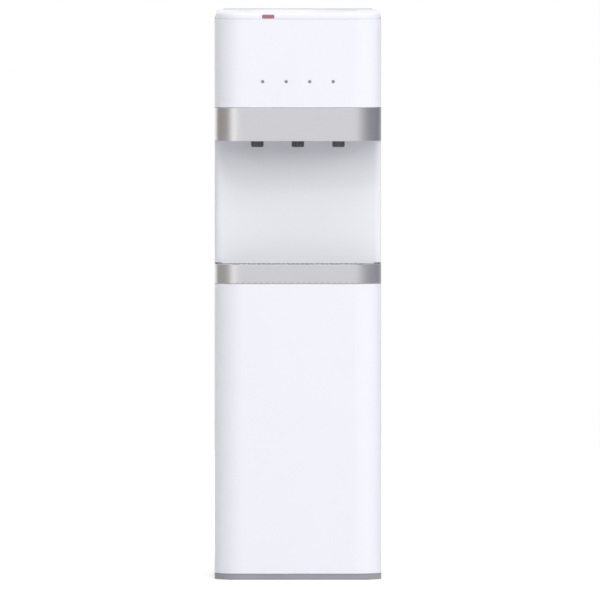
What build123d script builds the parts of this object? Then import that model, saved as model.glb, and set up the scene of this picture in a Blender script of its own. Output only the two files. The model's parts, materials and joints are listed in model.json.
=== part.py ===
from build123d import *
from math import cos, radians, sin
import os

# A floor-standing water cooler: X to the right, Y to the back, Z up from the floor, in millimetres.
# The origin is on the floor, in the middle of the outline.

# Cabinet outline
width = 310.0
depth = 340.0
front_radius = 50.0
front_run = 6.0
condenser_reach = 20.0
niche_depth = 105.0

# Heights of the parts of the front, from the floor up
foot_height = 1.0
base_height = 11.0
lower_panel_height = 539.5
tray_band_height = 36.5
niche_height = 229.0
tap_band_height = 62.5
upper_panel_height = 165.0
cover_height = 12.0

# Walls, joints and clearances
panel_wall = 2.5
base_wall = 3.0
sheet_wall = 1.0
brace_wall = 1.2
seam = 0.5
fit = 0.3
run_gap = 0.3
edge_round = 0.8
edge_bevel = 1.0
rib_wall = 2.0
rib_depth = 7.0
overcut = 1.0

# Base, feet and compressor studs
foot_radius = 14.0
foot_seat = 4.0
foot_inset = 34.0
base_lip = 8.0
stud_radius = 3.5
stud_height = 20.0
vent_count = 5
vent_pitch = 24.0

# Side and rear sheets
flange_width = 14.0
louvre_length = 60.0
louvre_height = 4.0
louvre_pitch = 12.0
louvre_rows = 6
louvre_top_gap = 45.0
louvre_x = 18.0
hem_rise = 1.6
hem_corner = 6.0

# Lower front, tray shelf and niche
panel_ribs = 4
shelf_wall = 2.5
shelf_depth = 12.0
rail_height = 3.0
rail_width = 6.0
rail_x = 100.0
niche_return = 16.0
niche_radius = 12.0
ceiling_rise = 2.0
ceiling_wall = 2.5
ceiling_skirt = 10.0

# Drip tray and grille
notch_count = 21
notch_pitch = 11.3
notch_width = 5.0
notch_height = 3.5
notch_depth = 1.8
tub_wall = 2.0
tub_floor = 2.0
ledge_width = 2.5
grille_wall = 2.5
grille_drop = 1.0
grille_margin = 7.7
slot_width = 5.0
slot_pitch = 9.0
slot_web = 7.0
slot_end_room = 33.0

# Taps
tap_pitch = 75.5
tap_setback = 48.0
tap_drop = 12.2
nozzle_radius = 6.0
nozzle_bore = 4.0
nozzle_lift = 1.0
chamber_radius = 11.0
chamber_bore = 8.5
chamber_height = 27.5
seat_height = 7.5
tap_flange_width = 48.0
tap_flange_wall = 3.0
tap_screw_radius = 2.0
tap_screw_inset = 4.8
inlet_radius = 5.0
inlet_bore = 3.2
inlet_bend = 6.0
inlet_height = 17.5
inlet_reach = 18.0
inlet_rise = 12.0
lug_wall = 3.0
lug_reach = 4.0
pivot_forward = 13.0
pivot_height = 35.5
trunnion_radius = 2.5
trunnion_gap = 0.1
bonnet_wall = 5.0
bonnet_spigot = 4.0
stem_radius = 2.0
stem_gap = 0.4
plug_radius = 7.5
plug_height = 6.0
plug_bevel = 2.0
head_radius = 5.0
head_wall = 3.0
yoke_wall = 3.0
arm_front = 4.0
arm_drop = 5.0
arm_elbow = 12.0
tongue_width = 23.0
tongue_wall = 3.0
tongue_behind = 12.0
tongue_top = 4.0
lift_bar = 6.0
lift_bar_wall = 4.0
lift_bar_width = 6.0
lever_angle = 9.0
spring_wire = 0.8
spring_sides = 6
spring_turns = 4

# Indicators and their board
lens_count = 4
lens_pitch = 43.7
lens_height = 48.3
lens_radius = 3.0
lens_flange = 4.2
lens_flange_wall = 1.0
lens_sink = 0.2
board_width = 172.0
board_height = 22.0
board_wall = 1.6
led_radius = 1.5
led_length = 2.5
boss_radius = 4.0

# Top cover and bottle seat
cover_inset = 2.0
cover_round = 6.0
cover_rear_radius = 12.0
seat_room = 8.5
seat_drop = 1.0
seat_flange = 10.0
seat_wall = 2.5
seat_cone = 36.0
neck_radius = 30.0
neck_depth = 46.0
ledge_reach = 9.0
probe_radius = 8.0
probe_round = 6.0
probe_bore = 4.5
probe_flange = 14.0
probe_tip_drop = 30.0
probe_tail = 20.0
probe_window = 4.0

# Safety button
button_x = -55.2
button_width = 22.0
button_height = 6.4
button_lift = 1.2
button_proud = 0.8
button_length = 9.0
button_travel = 2.5
button_stop = 1.5
stop_height = 4.0
switch_length = 10.0
contact_radius = 2.0
contact_length = 1.5

# Cold tank and its cooling coil, in the room between the taps and the back
tank_room = 22.0
rear_room = 18.0
tank_wall = 1.5
tank_corner = 14.0
tank_rim = 5.0
tank_top_gap = 20.0
seal_wall = 3.0
baffle_height = 95.0
baffle_wall = 2.0
baffle_gap = 2.0
cold_port_x = 48.0
port_gap = 2.0
stub_reach = 6.0
feed_drop = 5.0
coil_turns = 6
coil_pitch = 14.0
coil_start = 18.0
coil_tube = 3.2
coil_gap = 0.3
insulation_wall = 20.0
insulation_floor = 21.0
support_rise = 1.8

# Hot tank
hot_tank_setback = 110.0
hot_tank_radius = 45.0
hot_tank_height = 130.0
hot_tank_corner = 16.0
hot_room = 54.0
hot_shelf_depth = 100.0
hot_foot_height = 20.0
hot_foot_radius = 30.0
hot_port_x = 20.0
jacket_wall = 16.0
jacket_margin = 5.0
heater_wall = 3.5
heater_height = 30.0
heater_rise = 20.0
heater_gap = 2.0
thermostat_radius = 8.0
thermostat_cap = 6.0
thermostat_height = 6.0

# Compressor
compressor_setback = 90.0
compressor_radius = 62.0
compressor_height = 132.0
compressor_dome = 30.0
weld_height = 62.0
weld_width = 3.0
weld_wall = 4.0
plate_wall = 2.5
plate_x = 70.0
plate_y = 40.0
grommet_radius = 9.0
grommet_height = 14.0
pipe_port = 32.0
port_wall = 1.0
port_length = 12.0
terminal_length = 44.0
terminal_height = 46.0
terminal_depth = 20.0

# Condenser and pipes
tube_radius = 2.4
tube_bend = 20.0
condenser_rise = 60.0
condenser_pitch = 52.0
condenser_runs = 10
riser_inset = 18.0
riser_gap = 11.0
wire_radius = 0.75
wire_gap = 0.15
wire_count = 21
wire_margin = 5.0
wire_over = 15.0
bracket_width = 14.0
bracket_height = 7.0
pipe_bend = 9.0
pipe_rise = 33.5
pipe_setback = 12.0
bay_room = 35.0
capillary_radius = 1.2
capillary_x = 30.0
drier_radius = 9.5
drier_length = 80.0
drier_setback = 38.0
joint_gap = 0.2

# Hoses and drain
hose_radius = 5.0
hose_bore = 3.2
hose_bend = 12.0
hose_clear = 1.0
drain_rise = 22.0
drain_radius = 8.0
drain_bore = 4.2
drain_flange = 13.0
drain_reach = 12.0
drain_cap_radius = 11.5
drain_cap_length = 14.0

# Rear switches and power gland
switch_inset = 49.0
switch_drop = 80.0
bezel_width = 42.0
bezel_height = 34.0
bezel_wall = 2.0
bezel_depth = 20.0
pocket_depth = 12.0
rocker_width = 14.0
rocker_length = 19.0
rocker_pitch = 18.0
rocker_tilt = 8.0
rocker_sink = 3.5
rocker_pin = 1.5
rocker_face = 7.0
rocker_dip = 1.8
rocker_edge = 5.5
rocker_heel = 3.0
gland_inset = 36.0
gland_radius = 8.0
gland_bore = 4.0
gland_nose = 6.0
gland_length = 8.0

# Places that follow from the sizes above
front_y = -depth / 2
back_y = depth / 2
rear_y = back_y - condenser_reach
seam_y = front_y + front_radius + front_run
niche_y = front_y + niche_depth
side_x = width / 2
inner_x = side_x - sheet_wall
tray_z = base_height + lower_panel_height
niche_z = tray_z + tray_band_height
tap_band_z = niche_z + niche_height
upper_panel_z = tap_band_z + tap_band_height
cover_z = upper_panel_z + upper_panel_height
top_z = cover_z + cover_height
ceiling_z = tap_band_z + ceiling_rise
ceiling_top = ceiling_z + ceiling_wall
tub_rear = niche_y - 2 * seam
tub_inset = panel_wall + fit / 2
tub_top = niche_z - grille_drop
grille_z = tub_top - grille_wall
tub_floor_z = tray_z + rail_height + run_gap
slot_columns = int((width - 2 * slot_end_room) / slot_pitch)
tap_y = front_y + tap_setback
tongue_z = tap_band_z - tap_drop
chamber_top = ceiling_top + chamber_height
pivot_y = tap_y - pivot_forward
pivot_z = ceiling_top + pivot_height
bonnet_top = chamber_top + bonnet_wall
lift_z = pivot_z + lift_bar
head_z = lift_z + run_gap
plug_z = ceiling_top + seat_height + run_gap
yoke_x = chamber_radius + seam
tongue_travel = pivot_height * sin(radians(lever_angle)) + 2 * seam
tank_front = tap_y + inlet_reach + tank_room
tank_rear = rear_y - rear_room
bottle_y = (tank_front + tank_rear) / 2
insulation_radius = (tank_rear - tank_front) / 2
insulation_bore = insulation_radius - insulation_wall
coil_radius = insulation_bore - coil_gap - coil_tube
tank_radius = coil_radius - coil_tube - coil_gap
stub_end = tank_front - stub_reach
seat_radius = rear_y - cover_inset - panel_wall - seat_room - bottle_y
skirt_radius = tank_radius + tank_rim / 2
seat_z = top_z - seat_drop
neck_z = seat_z - seat_cone
neck_floor = neck_z - neck_depth
tank_top = cover_z - tank_top_gap
support_top = ceiling_top + support_rise + brace_wall
feed_low = support_top - feed_drop
tank_bottom = support_top + insulation_floor
coil_low = tank_bottom + coil_start
coil_high = coil_low + coil_turns * coil_pitch
hot_tank_y = rear_y - hot_tank_setback
hot_tank_top = support_top - hot_room
hot_tank_z = hot_tank_top - hot_tank_height
hot_shelf_z = hot_tank_z - hot_foot_height - brace_wall
compressor_y = rear_y - compressor_setback
grommet_z = base_height
plate_z = grommet_z + grommet_height
port_z = plate_z + plate_wall + compressor_height + port_length
pipe_level = port_z + pipe_rise
bay_height = pipe_level + bay_room
inner_pipe_y = rear_y - pipe_setback
drier_y = rear_y - drier_setback
riser_x = inner_x - riser_inset
condenser_y = back_y - 2 * wire_radius - wire_gap - tube_radius
condenser_half = riser_x - riser_gap
condenser_bottom = bay_height + condenser_rise
condenser_top = condenser_bottom + (condenser_runs - 1) * condenser_pitch
drain_z = bay_height + drain_rise
gland_x = gland_inset - inner_x
switch_x = switch_inset - inner_x
switch_z = cover_z - switch_drop
rocker_y = rear_y - rocker_sink
UP = (Align.CENTER, Align.CENTER, Align.MIN)
taps = {"hot": -tap_pitch, "room": 0.0, "cold": tap_pitch}


def save(piece, name):
    """Label a finished piece and write its STEP file."""
    piece.part.label = name
    export_step(piece.part, f"parts/{name}.step")


def block(x, y, z, mode=Mode.ADD):
    """Box between two limits on each axis."""
    with Locations(((x[0] + x[1]) / 2, (y[0] + y[1]) / 2, (z[0] + z[1]) / 2)):
        Box(abs(x[1] - x[0]), abs(y[1] - y[0]), abs(z[1] - z[0]), mode=mode)


def round_front(z, inset, front, rear, radius):
    """Plan outline of the cabinet's width, drawn in by inset, with two round front corners."""
    with BuildSketch(Plane.XY.offset(z)) as outline:
        with Locations((0, (front + inset + rear) / 2)):
            Rectangle(width - 2 * inset, rear - front - inset)
        fillet(outline.vertices().group_by(Axis.Y)[0], max(radius - inset, edge_round))
    return outline.sketch


def front_outline(z, inset, rear):
    """Plan outline of everything that follows the cabinet's round front."""
    return round_front(z, inset, front_y, rear, front_radius)


def front_shell(bottom, top):
    """Round-cornered front moulding, open to the rear, with softened outer edges."""
    with BuildPart() as shell:
        extrude(front_outline(bottom, 0, seam_y - seam), top - bottom)
        rims = shell.faces().filter_by(Axis.Z).edges() - shell.faces().sort_by(Axis.Y)[-1].edges()
        fillet(rims, edge_round)
        extrude(front_outline(bottom, panel_wall, seam_y), top - bottom, mode=Mode.SUBTRACT)
    return shell.part


def front_rib(z, reach):
    """Stiffening rib that follows the inside of a front moulding."""
    with BuildPart() as rib:
        extrude(front_outline(z, panel_wall, seam_y - seam), rib_wall)
        extrude(front_outline(z, panel_wall + reach, seam_y), rib_wall, mode=Mode.SUBTRACT)
    return rib.part


def lathe(centre_x, centre_y, points):
    """Solid of revolution about an upright axis, from a closed outline of radius and height."""
    with BuildPart() as turned:
        with BuildSketch(Plane(origin=(centre_x, centre_y, 0), x_dir=(1, 0, 0), z_dir=(0, -1, 0))):
            with BuildLine():
                Polyline(*points, close=True)
            make_face()
        revolve(axis=Axis((centre_x, centre_y, 0), (0, 0, 1)))
    return turned.part


def ring(centre_x, centre_y, outer, inner, bottom, top):
    """Upright ring between two heights."""
    outline = ((inner, bottom), (outer, bottom), (outer, top), (inner, top))
    return lathe(centre_x, centre_y, outline)


def vessel(centre_x, centre_y, radius, bottom, top, corner):
    """Upright cylinder with its lower edge rounded."""
    with BuildPart() as body:
        with Locations((centre_x, centre_y, bottom)):
            Cylinder(radius, top - bottom, align=UP)
        fillet(body.edges().sort_by(Axis.Z)[0], corner)
    return body.part


def pipe(points, radius, bend, bore=0.0):
    """Tube along straight runs joined by round bends."""
    with BuildPart() as tube:
        with BuildLine():
            route = FilletPolyline(*points, radius=bend)
        with BuildSketch(Plane(origin=route @ 0, z_dir=route % 0)):
            Circle(radius)
            if bore:
                Circle(bore, mode=Mode.SUBTRACT)
        sweep()
    return tube.part


# Casing


def make_base_pan():
    with BuildPart() as base_pan:
        skirt = base_height - foot_height
        hollow = skirt - base_wall
        extrude(front_outline(foot_height, 0, rear_y), skirt)
        extrude(front_outline(foot_height, base_wall, rear_y - base_wall), hollow, mode=Mode.SUBTRACT)
        with BuildSketch(Plane.XY.offset(foot_height)):
            with GridLocations(width / 3, 0, 3, 1):
                Rectangle(rib_wall, 2 * rear_y - 2 * base_wall)
            with Locations((0, seam_y), (0, rear_y / 3)):
                Rectangle(width - 2 * base_wall, rib_wall)
        extrude(amount=hollow)
        with Locations(*[(x, y, foot_height) for x, y in foot_places()]):
            Cylinder(foot_radius + base_wall, hollow, align=UP)
            Cylinder(foot_radius + fit, foot_seat, align=UP, mode=Mode.SUBTRACT)
        extrude(front_outline(base_height, panel_wall + fit, seam_y), base_lip)
        lip_inset = panel_wall + fit + rib_wall
        extrude(front_outline(base_height, lip_inset, seam_y), base_lip, mode=Mode.SUBTRACT)
        with Locations(*[(x, y, base_height) for x, y in stud_places()]):
            Cylinder(stud_radius, stud_height, align=UP)
        with BuildSketch(Plane.XY.offset(foot_height)):
            with Locations((0, compressor_y)):
                with GridLocations(vent_pitch, 0, vent_count, 1):
                    SlotOverall(louvre_length, louvre_height, rotation=90)
        extrude(amount=skirt, mode=Mode.SUBTRACT)
    save(base_pan, "base_pan")


def foot_places():
    x = side_x - foot_inset
    return [(sx * x, y) for sx in (-1, 1) for y in (front_y + foot_inset, rear_y - foot_inset)]


def stud_places():
    return [(sx * plate_x, compressor_y + sy * plate_y) for sx in (-1, 1) for sy in (-1, 1)]


def make_foot_pads():
    with BuildPart() as foot_pads:
        with Locations(*[(x, y, 0) for x, y in foot_places()]):
            Cylinder(foot_radius, foot_height + foot_seat, align=UP)
    save(foot_pads, "foot_pads")


def make_side_panel(name, side):
    """Sheet from the front seam to the back, folded in at both ends and cut out beside the niche."""
    with BuildPart() as side_panel:
        flange_x = side * (inner_x + sheet_wall - flange_width / 2)
        with BuildSketch(Plane.XY.offset(base_height)):
            with Locations((side * (side_x - sheet_wall / 2), (seam_y + rear_y) / 2)):
                Rectangle(sheet_wall, rear_y - seam_y)
            with Locations((flange_x, seam_y + sheet_wall / 2), (flange_x, rear_y - 1.5 * sheet_wall)):
                Rectangle(flange_width, sheet_wall)
        extrude(amount=cover_z - base_height)
        reach = (0, side * width)
        cut_y = (seam_y - overcut, niche_y + niche_return)
        block(reach, cut_y, (niche_z, tap_band_z), mode=Mode.SUBTRACT)
        inside = (0, side * inner_x)
        front_edge = (seam_y - overcut, seam_y + 2 * sheet_wall)
        block(inside, front_edge, (tray_z - shelf_depth, niche_z), mode=Mode.SUBTRACT)
        block(inside, front_edge, (tap_band_z, ceiling_top + ceiling_skirt), mode=Mode.SUBTRACT)
    save(side_panel, name)


def make_rear_panel():
    with BuildPart() as rear_panel:
        half = inner_x - seam
        sheet_y = (rear_y - sheet_wall, rear_y)
        hem = side_x - cover_rear_radius
        block((-hem, hem), sheet_y, (bay_height, top_z + hem_rise))
        fillet(rear_panel.edges().filter_by(Axis.Y).group_by(Axis.Z)[-1], hem_corner)
        block((-half, half), sheet_y, (bay_height, cover_z))
        lip_x = (flange_width - half, half - flange_width)
        lip_y = (inner_pipe_y + coil_tube + 2 * seam, rear_y)
        block(lip_x, lip_y, (bay_height, bay_height + sheet_wall))
        with BuildSketch(Plane.XZ.offset(-rear_y)):
            with Locations((louvre_x, cover_z - louvre_top_gap - louvre_rows * louvre_pitch / 2)):
                with GridLocations(louvre_length + louvre_pitch, louvre_pitch, 2, louvre_rows):
                    SlotOverall(louvre_length, louvre_height)
            with Locations((switch_x, switch_z)):
                Rectangle(bezel_width - 2 * bezel_wall, bezel_height - 2 * bezel_wall)
            with Locations((0, drain_z)):
                Circle(drain_radius + fit)
            with Locations((gland_x, drain_z)):
                Circle(gland_radius + fit)
        extrude(amount=sheet_wall, mode=Mode.SUBTRACT)
    save(rear_panel, "rear_panel")


def make_lower_front_panel():
    with BuildPart() as lower_front_panel:
        add(front_shell(base_height + seam, tray_z))
        step = lower_panel_height / (panel_ribs + 1)
        for number in range(panel_ribs):
            add(front_rib(base_height + (number + 1) * step, rib_depth))
    save(lower_front_panel, "lower_front_panel")


def make_tray_shelf():
    with BuildPart() as tray_shelf:
        rear = niche_y + panel_wall + rib_depth
        extrude(front_outline(tray_z - shelf_depth, panel_wall + fit, rear), shelf_depth)
        under = shelf_depth - shelf_wall
        inset = panel_wall + fit + rib_wall
        extrude(front_outline(tray_z - shelf_depth, inset, rear - rib_wall), under, mode=Mode.SUBTRACT)
        rail_y = (front_y + panel_wall + front_radius / 2, niche_y)
        for x in (-rail_x, rail_x):
            across = (x - rail_width / 2, x + rail_width / 2)
            block(across, rail_y, (tray_z, tray_z + rail_height))
    save(tray_shelf, "tray_shelf")


def make_niche_panel():
    """Back wall of the niche: full width between the bands, narrower where it passes inside the casing."""
    with BuildPart() as niche_panel:
        low = niche_z + seam
        rear = niche_y + niche_return
        extrude(round_front(low, 0, niche_y, rear, niche_radius), tap_band_z - seam - low)
        inner = round_front(low, panel_wall, niche_y, rear + overcut, niche_radius)
        extrude(inner, tap_band_z - seam - low, mode=Mode.SUBTRACT)
        half = inner_x - niche_radius
        block((-half, half), (niche_y, niche_y + panel_wall), (tray_z, ceiling_z))
    save(niche_panel, "niche_panel")


def make_niche_ceiling():
    with BuildPart() as niche_ceiling:
        rear = niche_y + panel_wall
        extrude(front_outline(ceiling_z, panel_wall + fit, rear), ceiling_wall + ceiling_skirt)
        inset = panel_wall + fit + rib_wall
        extrude(front_outline(ceiling_top, inset, rear + overcut), ceiling_skirt, mode=Mode.SUBTRACT)
        for x in taps.values():
            front = tap_y - nozzle_radius - 3 * seam
            rear = tap_y + tongue_behind + tongue_wall + tongue_travel
            half = tongue_width / 2 + 2 * seam
            block((x - half, x + half), (front, rear), (ceiling_z, ceiling_top), mode=Mode.SUBTRACT)
    save(niche_ceiling, "niche_ceiling")


def make_tap_band():
    with BuildPart() as tap_band:
        add(front_shell(tap_band_z, upper_panel_z - seam))
        add(front_rib(upper_panel_z - seam - rib_wall, rib_depth))
    save(tap_band, "tap_band")


def make_upper_front_panel():
    with BuildPart() as upper_front_panel:
        add(front_shell(upper_panel_z, cover_z - seam))
        add(front_rib(upper_panel_z + rib_depth, rib_depth))
        inner_face = Plane.XZ.offset(-(front_y + panel_wall))
        with BuildSketch(inner_face):
            with Locations(*[(x, lens_z()) for x in board_bosses()]):
                Circle(boss_radius)
        extrude(amount=-board_gap())
        with BuildSketch(Plane.XZ.offset(-front_y)):
            with Locations(*[(x, lens_z()) for x in lens_places()]):
                Circle(lens_radius + fit / 2)
        extrude(amount=-panel_wall, mode=Mode.SUBTRACT)
    save(upper_front_panel, "upper_front_panel")


def make_cross_braces():
    """Two folded sheets between the side panels: under the cold tank and under the hot tank."""
    with BuildPart() as cross_braces:
        half = inner_x - fit
        upper = (niche_y + 2 * rib_depth + hose_radius, rear_y - 2 * sheet_wall - fit)
        low = support_top - brace_wall
        block((-half, half), upper, (low, support_top))
        lower = (hot_tank_y - hot_shelf_depth / 2, hot_tank_y + hot_shelf_depth / 2)
        block((-half, half), lower, (hot_shelf_z, hot_shelf_z + brace_wall))
        for side in (-1, 1):
            wall = (side * (half - brace_wall), side * half)
            block(wall, upper, (low - flange_width, support_top))
            block(wall, lower, (hot_shelf_z - flange_width, hot_shelf_z + brace_wall))
        through = (low - overcut, support_top + overcut)
        for x in (-pipe_port, capillary_x):
            slot = (x - 2 * tube_radius, x + 2 * tube_radius)
            block(slot, (inner_pipe_y - 3 * tube_radius, rear_y), through, mode=Mode.SUBTRACT)
        with Locations((hot_port_x, hot_tank_y, low - overcut)):
            Cylinder(hose_radius + 2 * hose_clear, 2 * brace_wall + overcut, align=UP, mode=Mode.SUBTRACT)
    save(cross_braces, "cross_braces")


# Drip tray


def make_tray_band():
    with BuildPart() as tray_band:
        add(front_shell(tray_z + seam, niche_z))
        with BuildSketch(Plane.XY.offset(tray_z + seam)):
            with Locations((0, front_y)):
                with GridLocations(notch_pitch, 0, notch_count, 1):
                    Rectangle(notch_width, 2 * notch_depth)
        extrude(amount=notch_height, mode=Mode.SUBTRACT)
    save(tray_band, "tray_band")


def make_drip_tray():
    """Tub that slides on two rails, with a ledge for the grille."""
    with BuildPart() as drip_tray:
        low = tray_z + seam
        extrude(front_outline(low, tub_inset, tub_rear), tub_top - low)
        cavity = tub_inset + tub_wall
        floor_top = tub_floor_z + tub_floor
        inside = front_outline(floor_top, cavity, tub_rear - tub_wall)
        extrude(inside, tub_top - floor_top, mode=Mode.SUBTRACT)
        under = front_outline(low, cavity, tub_rear - tub_wall)
        extrude(under, tub_floor_z - low, mode=Mode.SUBTRACT)
        ledge_low = grille_z - tub_wall
        extrude(front_outline(ledge_low, tub_inset, tub_rear), tub_wall)
        mouth = front_outline(ledge_low, cavity + ledge_width, tub_rear - tub_wall - ledge_width)
        extrude(mouth, tub_wall, mode=Mode.SUBTRACT)
        guide_front = front_y + front_radius / 2 + panel_wall
        for x in (-rail_x, rail_x):
            passage = (x - rail_width / 2 - seam, x + rail_width / 2 + seam)
            rear_wall = (tub_rear - tub_wall, tub_rear)
            block(passage, rear_wall, (low, tub_floor_z), mode=Mode.SUBTRACT)
            for side in (-1, 1):
                inner = x + side * (rail_width / 2 + seam)
                block((inner, inner + side * rib_wall), (guide_front, tub_rear), (low, tub_floor_z))
    save(drip_tray, "drip_tray")


def make_drip_grille():
    with BuildPart() as drip_grille:
        inset = tub_inset + tub_wall + seam
        rear = tub_rear - tub_wall - seam
        extrude(front_outline(grille_z, inset, rear), grille_wall)
        fillet(drip_grille.faces().sort_by(Axis.Z)[-1].edges(), edge_round)
        front = front_y + inset
        slot_length = (rear - front - slot_web) / 2 - grille_margin
        with BuildSketch(Plane.XY.offset(grille_z)):
            with Locations((0, (front + rear) / 2)):
                with GridLocations(slot_pitch, slot_length + slot_web, slot_columns, 2):
                    Rectangle(slot_width, slot_length)
        extrude(amount=grille_wall, mode=Mode.SUBTRACT)
    save(drip_grille, "drip_grille")


# Taps


def make_tap_body(name, x):
    """Valve chamber over its nozzle, with an elbow inlet at the back and two lugs for the lever."""
    with BuildPart() as tap_body:
        nozzle_z = tongue_z + nozzle_lift
        with Locations((x, tap_y, nozzle_z)):
            Cylinder(nozzle_radius, ceiling_top - nozzle_z, align=UP)
        fillet(tap_body.edges().sort_by(Axis.Z)[0], edge_round)
        with Locations((x, tap_y, ceiling_top)):
            Cylinder(chamber_radius, chamber_height, align=UP)
        flange_y = (pivot_y - lug_reach, tap_y + nozzle_radius + 2 * seam)
        flange_x = (x - tap_flange_width / 2, x + tap_flange_width / 2)
        block(flange_x, flange_y, (ceiling_top, ceiling_top + tap_flange_wall))
        for side in (-1, 1):
            lug_x = (x + side * (chamber_radius - lug_wall), x + side * chamber_radius)
            lug_y = (pivot_y - lug_reach, pivot_y + lug_reach)
            block(lug_x, lug_y, (ceiling_top, pivot_z + lug_reach))
            block(lug_x, (pivot_y, tap_y - nozzle_radius), (ceiling_top, chamber_top - bonnet_wall))
        inlet_y = tap_y + inlet_reach
        inlet_z = ceiling_top + inlet_height
        elbow = ((x, tap_y, inlet_z), (x, inlet_y, inlet_z), (x, inlet_y, inlet_z + inlet_rise))
        add(pipe(elbow, inlet_radius, inlet_bend))
        add(pipe(elbow, inlet_bore, inlet_bend), mode=Mode.SUBTRACT)
        with Locations((x, tap_y, nozzle_z)):
            Cylinder(nozzle_bore, chamber_top - nozzle_z, align=UP, mode=Mode.SUBTRACT)
        with Locations((x, tap_y, ceiling_top + seat_height)):
            Cylinder(chamber_bore, chamber_height, align=UP, mode=Mode.SUBTRACT)
        with BuildSketch(Plane.YZ.offset(x - chamber_radius)):
            with Locations((pivot_y, pivot_z)):
                Circle(trunnion_radius + trunnion_gap)
        extrude(amount=2 * chamber_radius, mode=Mode.SUBTRACT)
        screw_x = tap_flange_width / 2 - tap_screw_inset
        with Locations((x - screw_x, tap_y, ceiling_top), (x + screw_x, tap_y, ceiling_top)):
            Cylinder(tap_screw_radius, tap_flange_wall, align=UP, mode=Mode.SUBTRACT)
    save(tap_body, f"tap_body_{name}")


def make_tap_lever(name, x):
    """Yoke: a tongue behind the nozzle, two arms past the chamber and a fork under the stem's head."""
    with BuildPart() as tap_lever:
        tongue_y = tap_y + tongue_behind
        tongue_head = ceiling_top + tongue_top
        outer = yoke_x + yoke_wall
        for side in (-1, 1):
            with BuildSketch(Plane.YZ.offset(x + side * yoke_x)):
                with BuildLine():
                    Polyline(
                        (pivot_y - arm_front, lift_z),
                        (pivot_y - arm_front, pivot_z - arm_drop),
                        (pivot_y, pivot_z - arm_drop),
                        (tongue_y, tongue_head),
                        (tongue_y + tongue_wall, tongue_head),
                        (tongue_y + tongue_wall, tongue_head + arm_elbow),
                        (tap_y + lift_bar_width, lift_z),
                        close=True,
                    )
                make_face()
            extrude(amount=side * yoke_wall)
            with BuildSketch(Plane.YZ.offset(x + side * (yoke_x + yoke_wall / 2))):
                with Locations((pivot_y, pivot_z)):
                    Circle(trunnion_radius)
            extrude(amount=-side * (yoke_wall / 2 + lug_wall))
        bar_rear = tap_y + lift_bar_width / 2
        bar_z = (lift_z - lift_bar_wall, lift_z)
        block((x - outer, x + outer), (tap_y - lift_bar_width, bar_rear), bar_z)
        tongue = (tongue_y, tongue_y + tongue_wall)
        block((x - outer, x + outer), tongue, (tongue_head, tongue_head + rib_wall))
        block((x - tongue_width / 2, x + tongue_width / 2), tongue, (tongue_z, tongue_head + rib_wall))
        fillet(tap_lever.edges().filter_by(Axis.Y).group_by(Axis.Z)[0], tongue_wall)
        fork = stem_radius + 2 * stem_gap
        with Locations((x, tap_y, bar_z[0])):
            Cylinder(fork, lift_bar_wall, align=UP, mode=Mode.SUBTRACT)
        block((x - fork, x + fork), (tap_y, bar_rear), bar_z, mode=Mode.SUBTRACT)
    save(tap_lever, f"tap_lever_{name}")


def make_tap_plunger(name, x):
    """Stem with a soft plug that closes the nozzle and a head that the lever lifts."""
    outline = (
        (0, plug_z),
        (plug_radius - plug_bevel, plug_z),
        (plug_radius, plug_z + plug_bevel),
        (plug_radius, plug_z + plug_height - plug_bevel),
        (plug_radius - plug_bevel, plug_z + plug_height),
        (stem_radius, plug_z + plug_height),
        (stem_radius, head_z),
        (head_radius, head_z),
        (head_radius, head_z + head_wall - edge_bevel),
        (head_radius - edge_bevel, head_z + head_wall),
        (0, head_z + head_wall),
    )
    with BuildPart() as tap_plunger:
        add(lathe(x, tap_y, outline))
    save(tap_plunger, f"tap_plunger_{name}")


def make_tap_bonnets():
    with BuildPart() as tap_bonnets:
        bore = stem_radius + stem_gap
        for x in taps.values():
            outline = (
                (bore, chamber_top - bonnet_spigot),
                (chamber_bore - fit, chamber_top - bonnet_spigot),
                (chamber_bore - fit, chamber_top),
                (chamber_radius, chamber_top),
                (chamber_radius, bonnet_top - edge_bevel),
                (chamber_radius - edge_bevel, bonnet_top),
                (bore, bonnet_top),
            )
            add(lathe(x, tap_y, outline))
    save(tap_bonnets, "tap_bonnets")


def make_tap_spring(name, x):
    with BuildPart() as tap_spring:
        low = plug_z + plug_height + spring_wire / 2
        high = chamber_top - bonnet_spigot - spring_wire / 2
        radius = (plug_radius + stem_radius) / 2
        with BuildLine() as coil:
            Helix((high - low) / spring_turns, high - low, radius, center=(x, tap_y, low))
        with BuildSketch(Plane(origin=coil.line @ 0, z_dir=coil.line % 0)):
            RegularPolygon(spring_wire / 2, spring_sides)
        sweep()
    save(tap_spring, f"tap_spring_{name}")


# Indicators


def lens_z():
    return upper_panel_z + lens_height


def lens_places():
    return [(number - (lens_count - 1) / 2) * lens_pitch for number in range(lens_count)]


def board_bosses():
    return [-board_width / 2 + boss_radius, board_width / 2 - boss_radius]


def board_gap():
    """Room between the upper panel and the indicator board."""
    return lens_flange_wall + joint_gap + led_length


def make_indicator_lenses():
    with BuildPart() as indicator_lenses:
        with BuildSketch(Plane.XZ.offset(-(front_y + lens_sink))):
            with Locations(*[(x, lens_z()) for x in lens_places()]):
                Circle(lens_radius)
        extrude(amount=-(panel_wall - lens_sink))
        with BuildSketch(Plane.XZ.offset(-(front_y + panel_wall))):
            with Locations(*[(x, lens_z()) for x in lens_places()]):
                Circle(lens_flange)
        extrude(amount=-lens_flange_wall)
    save(indicator_lenses, "indicator_lenses")


def make_indicator_board():
    with BuildPart() as indicator_board:
        board_y = front_y + panel_wall + board_gap()
        half = board_width / 2
        rise = board_height / 2
        block((-half, half), (board_y, board_y + board_wall), (lens_z() - rise, lens_z() + rise))
        with BuildSketch(Plane.XZ.offset(-board_y)):
            with Locations(*[(x, lens_z()) for x in lens_places()]):
                Circle(led_radius)
        extrude(amount=led_length)
    save(indicator_board, "indicator_board")


# Top cover and bottle seat


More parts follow.
